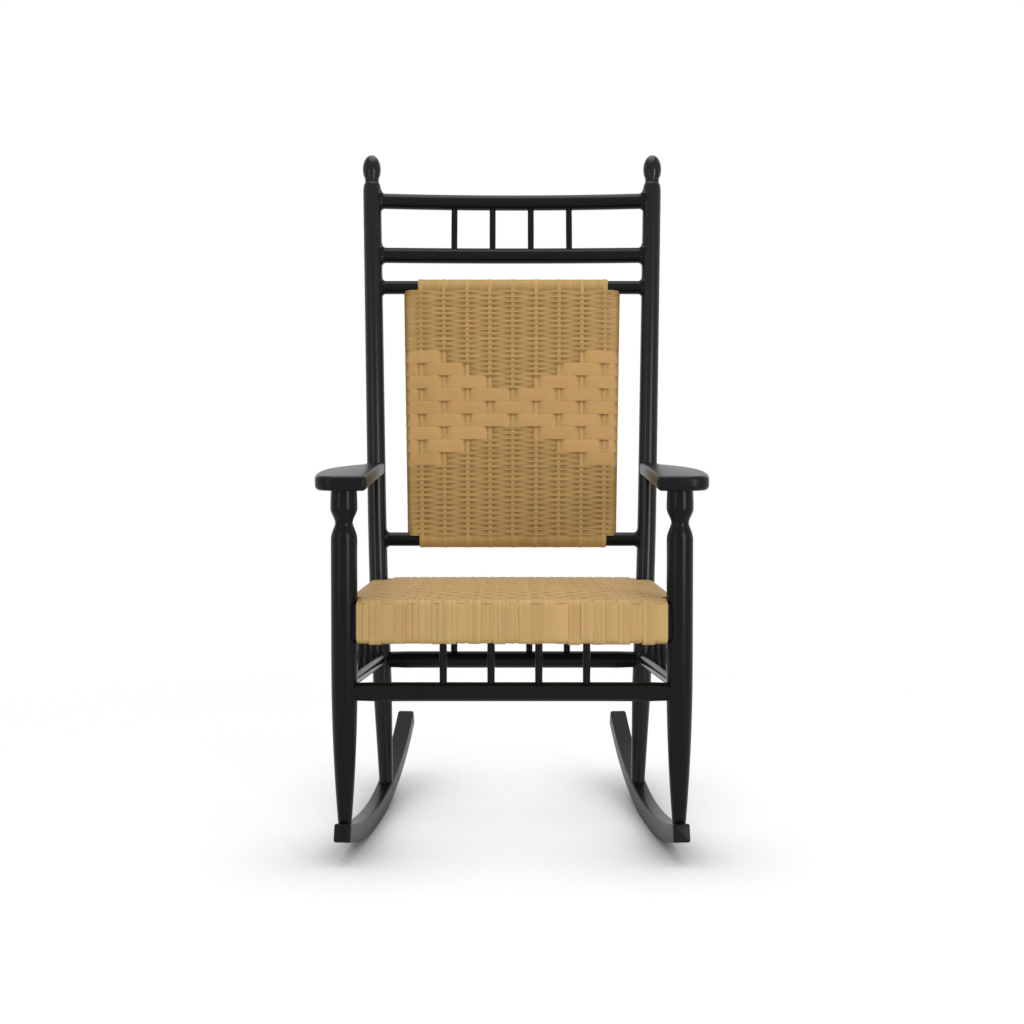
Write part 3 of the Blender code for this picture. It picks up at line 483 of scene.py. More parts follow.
def make_patches() -> bpy.types.NodeTree:
    """Builds the effect of soft patches, such as uneven gloss or colour.

    Returns:
        The node group: one mask, 0 to 1.
    """
    inputs = {"Place": None, "Patch Size": 0.05}
    group, wiring, source, sink = new_effect("soft_patches", inputs, ("Mask",))
    scale = wiring.node("VectorMath", operation="SCALE")
    wiring.join(source.outputs["Place"], scale.inputs[0])
    wiring.join(wiring.math("DIVIDE", 1.0, source.outputs["Patch Size"]), scale.inputs["Scale"])
    noise = wiring.node("TexNoise", {"Scale": 1.0, "Detail": 2.0, "Roughness": 0.5})
    wiring.join(scale.outputs[0], noise.inputs["Vector"])
    wiring.join(noise.outputs["Fac"], sink.inputs["Mask"])
    return group


@dataclass
class Effects:
    """The shader node groups that the finishes share."""

    long_grain: bpy.types.NodeTree = field(default_factory=make_long_grain)
    patches: bpy.types.NodeTree = field(default_factory=make_patches)

    def place(self, wiring: Wiring, group: bpy.types.NodeTree, vector: object, **values: float) -> bpy.types.Node:
        """Puts an effect in a material.

        Args:
            wiring: The material's wiring.
            group: The effect.
            vector: The socket of the places that it is read at.
            values: Values for its inputs, with _ for a space.

        Returns:
            The group node.
        """
        made = wiring.node("Group", node_tree=group)
        wiring.join(vector, made.inputs["Place"])
        for name, value in values.items():
            made.inputs[name.replace("_", " ")].default_value = value
        return made


def new_material(name: str) -> tuple[bpy.types.Material, Wiring, bpy.types.Node]:
    """Starts a material.

    Args:
        name: Its name.

    Returns:
        The material, its wiring and its Principled shader.
    """
    material = bpy.data.materials.new(name)
    material.use_nodes = True
    return material, Wiring(material.node_tree), material.node_tree.nodes["Principled BSDF"]


def fibre_place(wiring: Wiring, fibres: Fibres) -> bpy.types.NodeSocket:
    """Reads where a surface point is along its piece.

    Args:
        wiring: The material's wiring.
        fibres: Whether the run comes from the piece's fibre map or from space.

    Returns:
        The socket of the place, in metres.
    """
    if fibres is Fibres.ALONG_PIECE:
        return wiring.node("UVMap", uv_map="fibre").outputs[0]
    return wiring.node("TexCoord").outputs["Object"]


@dataclass(frozen=True)
class SatinPaint:
    """Black paint on turned wood: even, with the wood's grain faint under it and softly uneven gloss."""

    colour: Colour = (0.0030, 0.0030, 0.0032)
    lit_colour: Colour = (0.0052, 0.0052, 0.0055)
    roughness: float = 0.18
    roughness_spread: float = 0.08
    specular_level: float = 0.125
    grain_length: float = 0.09
    grain_width: float = 0.0016
    grain_depth: float = 0.00012
    grain_strength: float = 0.35
    patch_size: float = 0.035

    def build(self, effects: Effects, name: str, fibres: Fibres) -> bpy.types.Material:
        """Makes the material.

        Args:
            effects: The shared node groups.
            name: The material's name.
            fibres: Where the grain takes its run from.

        Returns:
            The material.
        """
        material, wiring, shader = new_material(name)
        place = fibre_place(wiring, fibres)
        space = wiring.node("TexCoord").outputs["Object"]
        grain = effects.place(
            wiring, effects.long_grain, place, Line_Length=self.grain_length, Line_Width=self.grain_width
        )
        patches = effects.place(wiring, effects.patches, space, Patch_Size=self.patch_size)
        colour = wiring.mix(grain.outputs["Streaks"], self.colour, self.lit_colour)
        wiring.join(colour, shader.inputs["Base Color"])
        spread = wiring.math("MULTIPLY", patches.outputs["Mask"], self.roughness_spread)
        wiring.join(wiring.math("ADD", spread, self.roughness), shader.inputs["Roughness"])
        shader.inputs["Specular IOR Level"].default_value = self.specular_level
        bump = wiring.node("Bump", {"Strength": self.grain_strength, "Distance": self.grain_depth})
        wiring.join(grain.outputs["Height"], bump.inputs["Height"])
        wiring.join(bump.outputs[0], shader.inputs["Normal"])
        return material


@dataclass(frozen=True)
class Rattan:
    """Split rattan: tan, with fine lines along it, a little pink or green from reed to reed, and painted shade in
    dips.
    """

    dark: Colour
    light: Colour
    pink: Colour = (1.06, 0.98, 0.95)
    green: Colour = (0.98, 1.01, 0.91)
    # Colour of the painted shade in a reed's dips, where its neighbours would shade it.
    painted_dip_shade: Colour = (0.78, 0.70, 0.58)
    strand_share: float = 0.55
    line_share: float = 0.28
    band_share: float = 0.17
    line_width: float = 0.0009
    line_length: float = 0.05
    line_contrast: float = 1.6
    band_width: float = 5.0
    band_length: float = 0.16
    band_contrast: float = 1.3
    patch_size: float = 0.045
    patch_range: tuple[float, float] = (0.34, 0.66)
    strand_hue: float = 0.35
    patch_hue: float = 0.65
    roughness: float = 0.52
    roughness_spread: float = 0.16
    specular_level: float = 0.30
    fibre_depth: float = 0.00025
    fibre_strength: float = 0.5

    def build(self, effects: Effects, name: str) -> bpy.types.Material:
        """Makes the material.

        Args:
            effects: The shared node groups.
            name: The material's name.

        Returns:
            The material.
        """
        material, wiring, shader = new_material(name)
        place = fibre_place(wiring, Fibres.ALONG_PIECE)
        space = wiring.node("TexCoord").outputs["Object"]
        strand = wiring.node("Attribute", attribute_name="strand")
        parts = wiring.node("SeparateColor")
        wiring.join(strand.outputs["Color"], parts.inputs[0])
        line_sizes = {"Line_Length": self.line_length, "Line_Width": self.line_width}
        lines = effects.place(wiring, effects.long_grain, place, **line_sizes, Contrast=self.line_contrast)
        band_sizes = {"Line_Length": self.band_length, "Line_Width": self.line_width * self.band_width}
        bands = effects.place(wiring, effects.long_grain, place, **band_sizes, Contrast=self.band_contrast)
        patches = effects.place(wiring, effects.patches, space, Patch_Size=self.patch_size)
        line_light = wiring.math("MULTIPLY", lines.outputs["Streaks"], self.line_share)
        band_light = wiring.math("MULTIPLY", bands.outputs["Streaks"], self.band_share)
        lightness = wiring.math("MULTIPLY", parts.outputs["Red"], self.strand_share)
        lightness = wiring.math("ADD", wiring.math("ADD", lightness, line_light), band_light)
        tan = wiring.mix(lightness, self.dark, self.light)
        low, high = self.patch_range
        patch = wiring.node("MapRange", {"From Min": low, "From Max": high})
        wiring.join(patches.outputs["Mask"], patch.inputs["Value"])
        hue = wiring.math("MULTIPLY", parts.outputs["Green"], self.strand_hue)
        hue = wiring.math("ADD", hue, wiring.math("MULTIPLY", patch.outputs[0], self.patch_hue))
        tinted = wiring.multiply(tan, wiring.mix(hue, self.green, self.pink))
        # Painted shade: the strand attribute's blue channel darkens the reed towards the shade colour in its dips.
        shade = wiring.mix(parts.outputs["Blue"], (1.0, 1.0, 1.0), self.painted_dip_shade)
        wiring.join(wiring.multiply(tinted, shade), shader.inputs["Base Color"])
        rough = wiring.math("MULTIPLY", lines.outputs["Streaks"], self.roughness_spread)
        wiring.join(wiring.math("ADD", rough, self.roughness), shader.inputs["Roughness"])
        shader.inputs["Specular IOR Level"].default_value = self.specular_level
        bump = wiring.node("Bump", {"Strength": self.fibre_strength, "Distance": self.fibre_depth})
        wiring.join(lines.outputs["Height"], bump.inputs["Height"])
        wiring.join(bump.outputs[0], shader.inputs["Normal"])
        return material


@dataclass(frozen=True)
class ScrewSteel:
    """Turned screw steel, with fine lathe lines and dull patches."""

    bright: Colour = (0.50, 0.50, 0.51)
    dull: Colour = (0.30, 0.30, 0.31)
    line_length: float = 0.002
    line_width: float = 0.0004
    patch_size: float = 0.003
    roughness: float = 0.28
    roughness_spread: float = 0.25

    def build(self, effects: Effects) -> bpy.types.Material:
        """Makes the material.

        Args:
            effects: The shared node groups.

        Returns:
            The material.
        """
        material, wiring, shader = new_material("screw_steel")
        place = fibre_place(wiring, Fibres.IN_SPACE)
        sizes = {"Line_Length": self.line_length, "Line_Width": self.line_width}
        lines = effects.place(wiring, effects.long_grain, place, **sizes)
        patches = effects.place(wiring, effects.patches, place, Patch_Size=self.patch_size)
        wiring.join(wiring.mix(patches.outputs["Mask"], self.bright, self.dull), shader.inputs["Base Color"])
        rough = wiring.math("MULTIPLY", lines.outputs["Streaks"], self.roughness_spread)
        wiring.join(wiring.math("ADD", rough, self.roughness), shader.inputs["Roughness"])
        shader.inputs["Metallic"].default_value = 1.0
        return material


@dataclass
class Workshop:
    """Holds the finishes, and dresses and seats each piece."""

    effects: Effects = field(default_factory=Effects)
    materials: dict[Finish, bpy.types.Material] = field(default_factory=dict)

    def __post_init__(self) -> None:
        """Makes every finish once."""
        paints = {
            Finish.PAINT: (SatinPaint(), "satin_black", Fibres.ALONG_PIECE),
            Finish.POST_PAINT: (SatinPaint(specular_level=0.22), "satin_black_posts", Fibres.ALONG_PIECE),
            Finish.WORN_PAINT: (SatinPaint(roughness=0.30), "satin_black_worn", Fibres.ALONG_PIECE),
            Finish.INNER_PAINT: (SatinPaint(), "satin_black_inner", Fibres.IN_SPACE),
        }
        for finish, (paint, name, fibres) in paints.items():
            self.materials[finish] = paint.build(self.effects, name, fibres)
        self.materials[Finish.STEEL] = ScrewSteel().build(self.effects)
        thin_dark, thin_light = (0.272, 0.162, 0.052), (0.505, 0.335, 0.130)
        # Stakes and wide bands get a darker painted shade in their dips.
        reeds = {
            Finish.STAKE_REED: (Rattan(thin_dark, thin_light, painted_dip_shade=(0.50, 0.42, 0.32)), "stake_rattan"),
            Finish.FLAT_REED: (Rattan((0.344, 0.211, 0.074), (0.558, 0.387, 0.175)), "flat_rattan"),
            Finish.WIDE_REED: (
                Rattan((0.343, 0.193, 0.060), (0.556, 0.356, 0.141), painted_dip_shade=(0.45, 0.37, 0.28)), "wide_rattan"
            ),
            Finish.FINE_REED: (Rattan(thin_dark, thin_light, line_width=0.0006), "fine_rattan"),
        }
        for finish, (reed, name) in reeds.items():
            self.materials[finish] = reed.build(self.effects, name)

    def seat(self, piece: bpy.types.Object, finish: Finish, slot: str, nodes: Sequence[str] = ()) -> None:
        """Dresses a new piece and seats it on the chair.

        Args:
            piece: The piece.
            finish: Its finish.
            slot: The part's material slot that it belongs to; not used.
            nodes: The solids that it stands for.
        """
        piece.data.materials.append(self.materials[finish])
        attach(piece, "root")
        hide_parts(*nodes)
        LOG.info("%s: %d faces, %s", piece.name, len(piece.data.polygons), finish.value)

    def dress_solid(self, name: str, finish: Finish) -> None:
        """Gives a solid that stays its finish.

        Args:
            name: The solid's name.
            finish: Its finish.
        """
        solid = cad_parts[name]
        for slot in solid.material_slots:
            slot.material = self.materials[finish]
        LOG.info("%s: kept, %s", name, finish.value)


# The painted frame


@dataclass(frozen=True)
class PostLine:
    """The bent line of a rear post, which every rail between the posts hangs on."""

    floor_x: float = 0.2334
    floor_reach: float = 0.415
    leg_splay: float = 0.0362
    leg_rake: float = 0.030
    back_splay: float = 0.0303
    back_rake: float = 0.230
    bend_start: float = 0.347
    bend_end: float = 0.587

    def bend(self, height: float) -> float:
        """Finds the height that counts for the back's own lean.

        Args:
            height: Height above the floor.

        Returns:
            A height that grows through the bend.
        """
        if height <= self.bend_start:
            return 0.0
        if height >= self.bend_end:
            return height - (self.bend_start + self.bend_end) / 2
        return (height - self.bend_start) ** 2 / (2 * (self.bend_end - self.bend_start))

    def x(self, height: float) -> float:
        """Finds how far out a post is.

        Args:
            height: Height above the floor.

        Returns:
            The distance.
        """
        return self.floor_x + self.leg_splay * height + (self.back_splay - self.leg_splay) * self.bend(height)

    def reach(self, height: float) -> float:
        """Finds how far back a post is.

        Args:
            height: Height above the floor.

        Returns:
            The reach.
        """
        lean = (self.back_rake - self.leg_rake) * self.bend(height)
        return self.floor_reach + self.leg_rake * height + lean

    def point(self, side: float, height: float) -> Vector:
        """Places a point on a post's axis.

        Args:
            side: -1 or 1.
            height: Its height.

        Returns:
            The point.
        """
        return at(side * self.x(height), self.reach(height), height)

    def between(self, height: float, share: float) -> Vector:
        """Places a point on the straight line between the posts.

        Args:
            height: The line's height.
            share: 0 at the left post and 1 at the right one.

        Returns:
            The point.
        """
        return self.point(-1, height).lerp(self.point(1, height), share)


@dataclass
class Rockers:
    """Two bent planks, each under a front leg and a rear post, flatter in front and wider at the tail."""

    posts: PostLine
    front_radius: float = 1.19
    rear_radius: float = 0.88
    centre_reach: float = 0.276
    height: float = 0.030
    width: float = 0.028
    tail_width: float = 0.0315
    nose: float = 0.031
    tail_reach: float = 0.6825
    edge: float = 0.0034
    end_rounding: float = 0.006
    steps: int = 90

    def radius(self, along: float) -> float:
        """Picks the lower edge's radius.

        Args:
            along: Distance behind the place where the plank touches the floor.

        Returns:
            The radius of the arc there.
        """
        return self.front_radius if along < 0 else self.rear_radius

    def top(self, reach: float) -> float:
        """Finds the height of the upper edge.

        Args:
            reach: Distance behind the front legs, near enough along the plank.

        Returns:
            The height.
        """
        along = reach - self.centre_reach
        radius = self.radius(along)
        return radius - math.sqrt(radius**2 - along**2) + self.height

    def turn(self) -> float:
        """Finds how far the planks turn in towards the back.

        Returns:
            The angle.
        """
        foot = self.top(self.posts.floor_reach)
        return math.atan2(LEG_X - self.posts.x(foot), self.posts.reach(foot))

    def build(self, workshop: Workshop) -> None:
        """Makes both rockers.

        Args:
            workshop: What dresses them.
        """
        for name, side in SIDES.items():
            skin = Skin()
            skin.add(*self.plank(side))
            rocker = skin.build(f"dressed_rocker_{name}")
            workshop.seat(rocker, Finish.WORN_PAINT, "black_paint", [f"rocker_{name}"])

    def plank(self, side: int) -> tuple[list[Station], list[Section]]:
        """Lays out one plank, which widens a little towards its tail.

        Args:
            side: -1 or 1.

        Returns:
            Its stations from nose to tail, and its section at each.
        """
        turn = self.turn()
        lengthen = 1 / math.cos(turn)
        centre = self.centre_reach * lengthen
        first = -centre - self.nose * lengthen
        last = self.tail_reach * lengthen - centre
        along = Vector((-side * math.sin(turn), math.cos(turn), 0))
        stations = []
        sections = []
        for place in self.places(first, last):
            radius = self.radius(place)
            angle = math.asin(place / radius)
            middle = at(side * LEG_X, 0, radius) + along * centre
            facing = along * math.sin(angle) - UP * math.cos(angle)
            stations.append(Station(middle + facing * (radius - self.height / 2), along.cross(UP), facing))
            from_end = max(0.0, self.end_rounding - min(place - first, last - place))
            inset = self.end_rounding - math.sqrt(max(0.0, self.end_rounding**2 - from_end**2))
            widening = smoothstep(0, last, place)
            width = self.width + (self.tail_width - self.width) * widening - inset
            sections.append(plank_section(width, self.height - inset, self.edge))
        return stations, sections

    def places(self, first: float, last: float) -> list[float]:
        """Lists the places along a plank, closer together at its rounded ends.

        Args:
            first: Where its nose is, behind the place where it touches the floor.
            last: Where its tail is.

        Returns:
            The places in order.
        """
        rounding = [self.end_rounding * (1 - math.cos(math.pi / 2 * i / 6)) for i in range(6)]
        middle = steps_between(first + self.end_rounding, last - self.end_rounding, self.steps)
        return [first + value for value in rounding] + middle + [last - value for value in reversed(rounding)]


@dataclass
class FrontLegs:
    """Two turned legs, each with a round head and a neck under the arm."""

    rockers: Rockers
    arm_underside: float = 0.609
    radius: float = 0.0215
    neck_radius: float = 0.0143
    foot_radius: float = 0.0112
    head_radius: float = 0.0219
    head_top_radius: float = 0.0210
    head_length: float = 0.0305
    neck_drop: float = 0.055
    swell_length: float = 0.026
    swell_power: float = 1.3
    taper_start: float = 0.330
    taper_power: float = 2.1
    ankle: float = 0.004
    sides: int = 48

    def profile(self) -> list[tuple[float, float]]:
        """Lists the leg's shape from its head down.

        Returns:
            (radius, height) pairs.
        """
        head = self.arm_underside
        top = head - self.head_length
        neck = head - self.neck_drop
        foot = self.rockers.top(0.0)
        shape = [(self.head_top_radius, head)]
        for share in steps_between(0, 1, 6):
            bulge = (self.head_radius - self.head_top_radius) * math.sin(math.pi / 2 * share)
            shape.append((self.head_top_radius + bulge, head - self.head_length * share))
        for share in steps_between(0, 1, 14)[1:]:
            flare = (1 + math.cos(math.pi * share)) / 2
            radius = self.neck_radius + (self.head_radius - self.neck_radius) * flare
            shape.append((radius, top + (neck - top) * share))
        for share in steps_between(0, 1, 14)[1:]:
            swell = math.sin(math.pi / 2 * share) ** self.swell_power
            radius = self.neck_radius + (self.radius - self.neck_radius) * swell
            shape.append((radius, neck - self.swell_length * share))
        for share in steps_between(0, 1, 16):
            radius = self.radius + (self.foot_radius - self.radius) * share**self.taper_power
            shape.append((radius, self.taper_start + (foot + self.ankle - self.taper_start) * share))
        shape.append((self.foot_radius, foot - self.rockers.height / 4))
        return shape

    def build(self, workshop: Workshop) -> None:
        """Makes both legs.

        Args:
            workshop: What dresses them.
        """
        for name, side in SIDES.items():
            shape = self.profile()
            stations = [Station(at(side * LEG_X, 0, height), ACROSS, Vector((0, 1, 0))) for _, height in shape]
            skin = Skin()
            skin.add(stations, [round_section(radius, self.sides) for radius, _ in shape])
            leg = skin.build(f"dressed_front_leg_{name}")
            workshop.seat(leg, Finish.PAINT, "black_paint", [f"front_leg_{name}"])


@dataclass
class RearPosts:
    """Two bent posts, each with a shoulder, a thin neck and an egg finial."""

    posts: PostLine
    rockers: Rockers
    radius: float = 0.0174
    foot_radius: float = 0.0128
    ankle: float = 0.010
    taper_start: float = 0.210
    shoulder: float = 1.150
    neck_rise: float = 0.019
    neck_radius: float = 0.0134
    egg_radius: float = 0.0175
    egg_length: float = 0.0555
    sides: int = 40

    def profile(self) -> list[tuple[float, float]]:
        """Lists the post's shape from its foot up.

        Returns:
            (radius, height) pairs.
        """
        foot = self.rockers.top(self.posts.floor_reach)
        shape = [(self.foot_radius, foot - self.rockers.height / 4)]
        for share in steps_between(0, 1, 10):
            radius = self.foot_radius + (self.radius - self.foot_radius) * share
            shape.append((radius, foot + self.ankle + (self.taper_start - foot - self.ankle) * share))
        shape += [(self.radius, height) for height in steps_between(self.taper_start, self.shoulder, 80)[1:]]
        for share in steps_between(0, 1, 12)[1:]:
            turn = math.pi / 2 * share
            radius = self.neck_radius + (self.radius - self.neck_radius) * math.cos(turn)
            shape.append((radius, self.shoulder + self.neck_rise * math.sin(turn)))
        middle = self.shoulder + self.neck_rise + self.egg_length / 2
        low = -math.acos(self.neck_radius / self.egg_radius)
        for turn in steps_between(low, math.radians(89), 28):
            shape.append((self.egg_radius * math.cos(turn), middle + self.egg_length / 2 * math.sin(turn)))
        return shape

    def build(self, workshop: Workshop) -> None:
        """Makes both posts.

        Args:
            workshop: What dresses them.
        """
        for name, side in SIDES.items():
            shape = self.profile()
            points = [self.posts.point(side, height) for _, height in shape]
            skin = Skin()
            sections = [round_section(radius, self.sides) for radius, _ in shape]
            skin.add(bar_stations(points, ACROSS), sections)
            post = skin.build(f"dressed_rear_post_{name}")
            workshop.seat(post, Finish.POST_PAINT, "black_paint", [f"rear_post_{name}"])


@dataclass
class Arms:
    """Two flat paddle arms with rounded edges, from over the front legs back to the posts."""

    posts: PostLine
    top: float = 0.633
    thickness: float = 0.024
    nose: float = 0.050
    outside: float = 0.0545
    inside: float = 0.0405
    inner_flare: float = 0.0085
    inner_rear_reach: float = 0.384
    widest_reach: float = 0.124
    nose_inset: float = 0.0148
    tail_reach: float = 0.386
    tail_cheek: float = 0.0216
    tail_half_width: float = 0.016
    tail_power: float = 2.5
    outer_corner: float = 0.028
    inner_corner: float = 0.008
    edge: float = 0.0072

    def outer_x(self, reach: float) -> float:
        """Finds the outer edge, which bulges and then comes in to the post.

        Args:
            reach: Distance behind the front legs.

        Returns:
            Distance out from the chair's middle.
        """
        widest = LEG_X + self.outside
        if reach < self.widest_reach:
            share = (self.widest_reach - reach) / (self.widest_reach + self.nose)
            return widest - self.nose_inset * share**2
        share = (reach - self.widest_reach) / (self.tail_reach - self.widest_reach)
        return widest - (widest - self.posts.x(self.top) - self.tail_cheek) * share**self.tail_power

    def corner(self, corner: Vector, before: Vector, after: Vector, radius: float) -> list[Vector]:
        """Rounds a corner of the outline.

        Args:
            corner: The sharp corner.
            before: A point that the outline comes from.
            after: A point that it goes on to.
            radius: How far from the corner the rounding starts.

        Returns:
            Points of the rounding.
        """
        first = (before - corner).normalized() * radius
        last = (after - corner).normalized() * radius
        turns = steps_between(0, math.pi / 2, 10)
        return [corner + first * (1 - math.sin(turn)) + last * (1 - math.cos(turn)) for turn in turns]

    def outline(self) -> list[Vector]:
        """Draws the right arm from above.

        Returns:
            Points as (distance out, reach).
        """
        end = self.posts.reach(self.top - self.thickness)
        end_x = self.posts.x(self.top)
        inner_x = LEG_X - self.inside
        reaches = steps_between(self.outer_corner - self.nose, self.tail_reach, 40)
        outer = [Vector((self.outer_x(reach), reach)) for reach in reaches]
        inner_rear = Vector((inner_x + self.inner_flare, self.inner_rear_reach))
        outer_corner = Vector((self.outer_x(-self.nose), -self.nose))
        inner_corner = Vector((inner_x, -self.nose))
        path = self.corner(inner_corner, inner_rear, outer_corner, self.inner_corner)
        path += self.corner(outer_corner, inner_corner, outer[0], self.outer_corner)
        half = self.tail_half_width
        return path + outer[1:] + [Vector((end_x + half, end)), Vector((end_x - half, end)), inner_rear]

    def inset(self, outline: Sequence[Vector], distance: float) -> Section:
        """Moves an outline inwards.

        Args:
            outline: The points, counter-clockwise from above.
            distance: How far they move.

        Returns:
            The moved points.
        """
        moved = []
        for i, point in enumerate(outline):
            before = (point - outline[i - 1]).normalized()
            after = (outline[(i + 1) % len(outline)] - point).normalized()
            along = (before + after).normalized()
            moved.append((point.x - along.y * distance, point.y + along.x * distance))
        return moved

    def build(self, workshop: Workshop) -> None:
        """Makes both arms.

        Args:
            workshop: What dresses them.
        """
        turns = steps_between(0, math.pi / 2, 6)
        for name, side in SIDES.items():
            levels = [(self.edge * (1 - math.sin(turn)), -self.edge * math.cos(turn)) for turn in turns]
            low = self.top - self.thickness + self.edge
            high = self.top - self.edge
            stations = []
            sections = []
            for inset, rise in levels + [(inset, -rise) for inset, rise in reversed(levels)]:
                height = (low if rise < 0 else high) + rise
                stations.append(Station(Vector((0, FRONT_Y, height)), ACROSS * side, Vector((0, 1, 0))))
                sections.append(self.inset(self.outline(), inset))
            skin = Skin()
            skin.add(stations, sections)
            arm = skin.build(f"dressed_arm_{name}")
            workshop.seat(arm, Finish.WORN_PAINT, "black_paint", [f"arm_{name}"])


@dataclass
class Gallery:
    """Two bowed rails between the posts, with filled corners where they meet them, and four spindles."""

    posts: PostLine
    crest_height: float = 1.1345
    rail_height: float = 1.028
    bow: float = 0.022
    crest_sag: float = 0.0018
    radius: float = 0.0149
    post_radius: float = 0.0174
    fillet_size: float = 0.0075
    spindle_radius: float = 0.0057
    spindle_pitch: float = 0.0741
    spindle_shift: float = -0.0006

    def point(self, height: float, share: float, sag: float = 0.0) -> Vector:
        """Places a point on a bowed rail.

        Args:
            height: The rail's height at the posts.
            share: 0 at the left post and 1 at the right one.
            sag: How much lower its middle is.

        Returns:
            The point.
        """
        middle = 4 * share * (1 - share)
        return self.posts.between(height, share) + Vector((0, self.bow * middle, -sag * middle))

    def build(self, workshop: Workshop) -> None:
        """Makes the rails and spindles.

        Args:
            workshop: What dresses them.
        """
        rails = (("crest_rail", self.crest_height, self.crest_sag), ("gallery_rail", self.rail_height, 0.0))
        for name, height, sag in rails:
            span = 2 * self.posts.x(height)
            shares = bar_shares(span, self.post_radius, self.fillet_size)
            points = [self.point(height, share, sag) for share in shares]
            surfaces = [min(share, 1 - share) * span - self.post_radius for share in shares]
            make_bar(workshop, name, points, [self.radius] * len(points), joint_swells(surfaces, self.fillet_size))
        for i in range(4):
            x = self.spindle_shift + self.spindle_pitch * (i - 1.5)
            ends = [self.point(h, 0.5 + x / (2 * self.posts.x(h))) for h in (self.rail_height, self.crest_height)]
            make_spindle(workshop, f"gallery_spindle_{i + 1}", *ends, self.spindle_radius)


def bar_shares(span: float, upright_radius: float, fillet_size: float) -> list[float]:
    """Divides a bar between two uprights, finely where it meets them.

    Args:
        span: Distance between the uprights' axes.
        upright_radius: Radius of the uprights.
        fillet_size: How far the joints' filled corners reach along the bar.

    Returns:
        Shares of the span, from 0 to 1.
    """
    near = [upright_radius * 0.3, upright_radius * 0.7]
    near += [upright_radius + fillet_size * share**1.6 for share in steps_between(0, 1, 10)]
    near += [upright_radius + fillet_size * 2]
    start = [0.0] + [distance / span for distance in near]
    return start + steps_between(start[-1], 1 - start[-1], 40)[1:-1] + [1 - share for share in reversed(start)]


def joint_swells(distances: Sequence[float], size: float) -> list[float]:
    """Finds how much taller a bar is where paint and filler round its joint with an upright.

    Args:
        distances: Distances from the nearer upright's surface.
        size: Radius of the rounding.

    Returns:
        The extra height above and below at each place.
    """
    swells = []
    for distance in distances:
        held = min(size, max(0.0, distance))
        swells.append(size - math.sqrt(size**2 - (size - held) ** 2))
    return swells


def make_bar(
    workshop: Workshop, node: str, points: Sequence[Vector], radii: Sequence[float], swells: Sequence[float] = ()
) -> None:
    """Makes a round painted bar.

    Args:
        workshop: What dresses it.
        node: The solid that it stands for.
        points: Its axis.
        radii: Its radius at each point.
        swells: How much taller it is at each point, where it isn't round.
    """
    sections = [round_section(radius, BAR_SIDES, swell) for radius, swell in zip(radii, swells or [0.0] * len(radii))]
    skin = Skin()
    skin.add(bar_stations(points, UP), sections)
    workshop.seat(skin.build(f"dressed_{node}"), Finish.PAINT, "black_paint", [node])


def make_spindle(workshop: Workshop, node: str, low: Vector, high: Vector, radius: float) -> None:
    """Makes a thin rod, a little thicker in its middle.

    Args:
        workshop: What dresses it.
        node: The solid that it stands for.
        low: Its lower end.
        high: Its upper end.
        radius: Its radius at the ends.
    """
    shares = steps_between(0, 1, 12)
    points = [low.lerp(high, share) for share in shares]
    skin = Skin()
    radii = [radius * (1 + SPINDLE_SWELL * math.sin(math.pi * share)) for share in shares]
    sections = [round_section(value, SPINDLE_SIDES) for value in radii]
    skin.add(bar_stations(points, ACROSS), sections)
    workshop.seat(skin.build(f"dressed_{node}"), Finish.PAINT, "black_paint", [node])


@dataclass(frozen=True)
class SeatPlane:
    """The tilted box that the seat fills, and points in it."""

    top: float = 0.431
    thickness: float = 0.071
    fall: float = 0.027

    def place(self) -> Matrix:
        """Places the seat's own axes: X across, Y back along it, Z out of its top.

        Returns:
            Their matrix.
        """
        middle = at(0, 0, self.top - self.thickness / 2)
        return Matrix.Translation(middle) @ Matrix.Rotation(-math.atan(self.fall), 4, "X")

    def point(self, x: float, reach: float, height: float = 0.0) -> Vector:
        """Places a point of the seat.

        Args:
            x: Distance across.
            reach: Distance back along it.
            height: Distance above its middle plane.

        Returns:
            The point.
        """
        return self.place() @ Vector((x, reach, height))


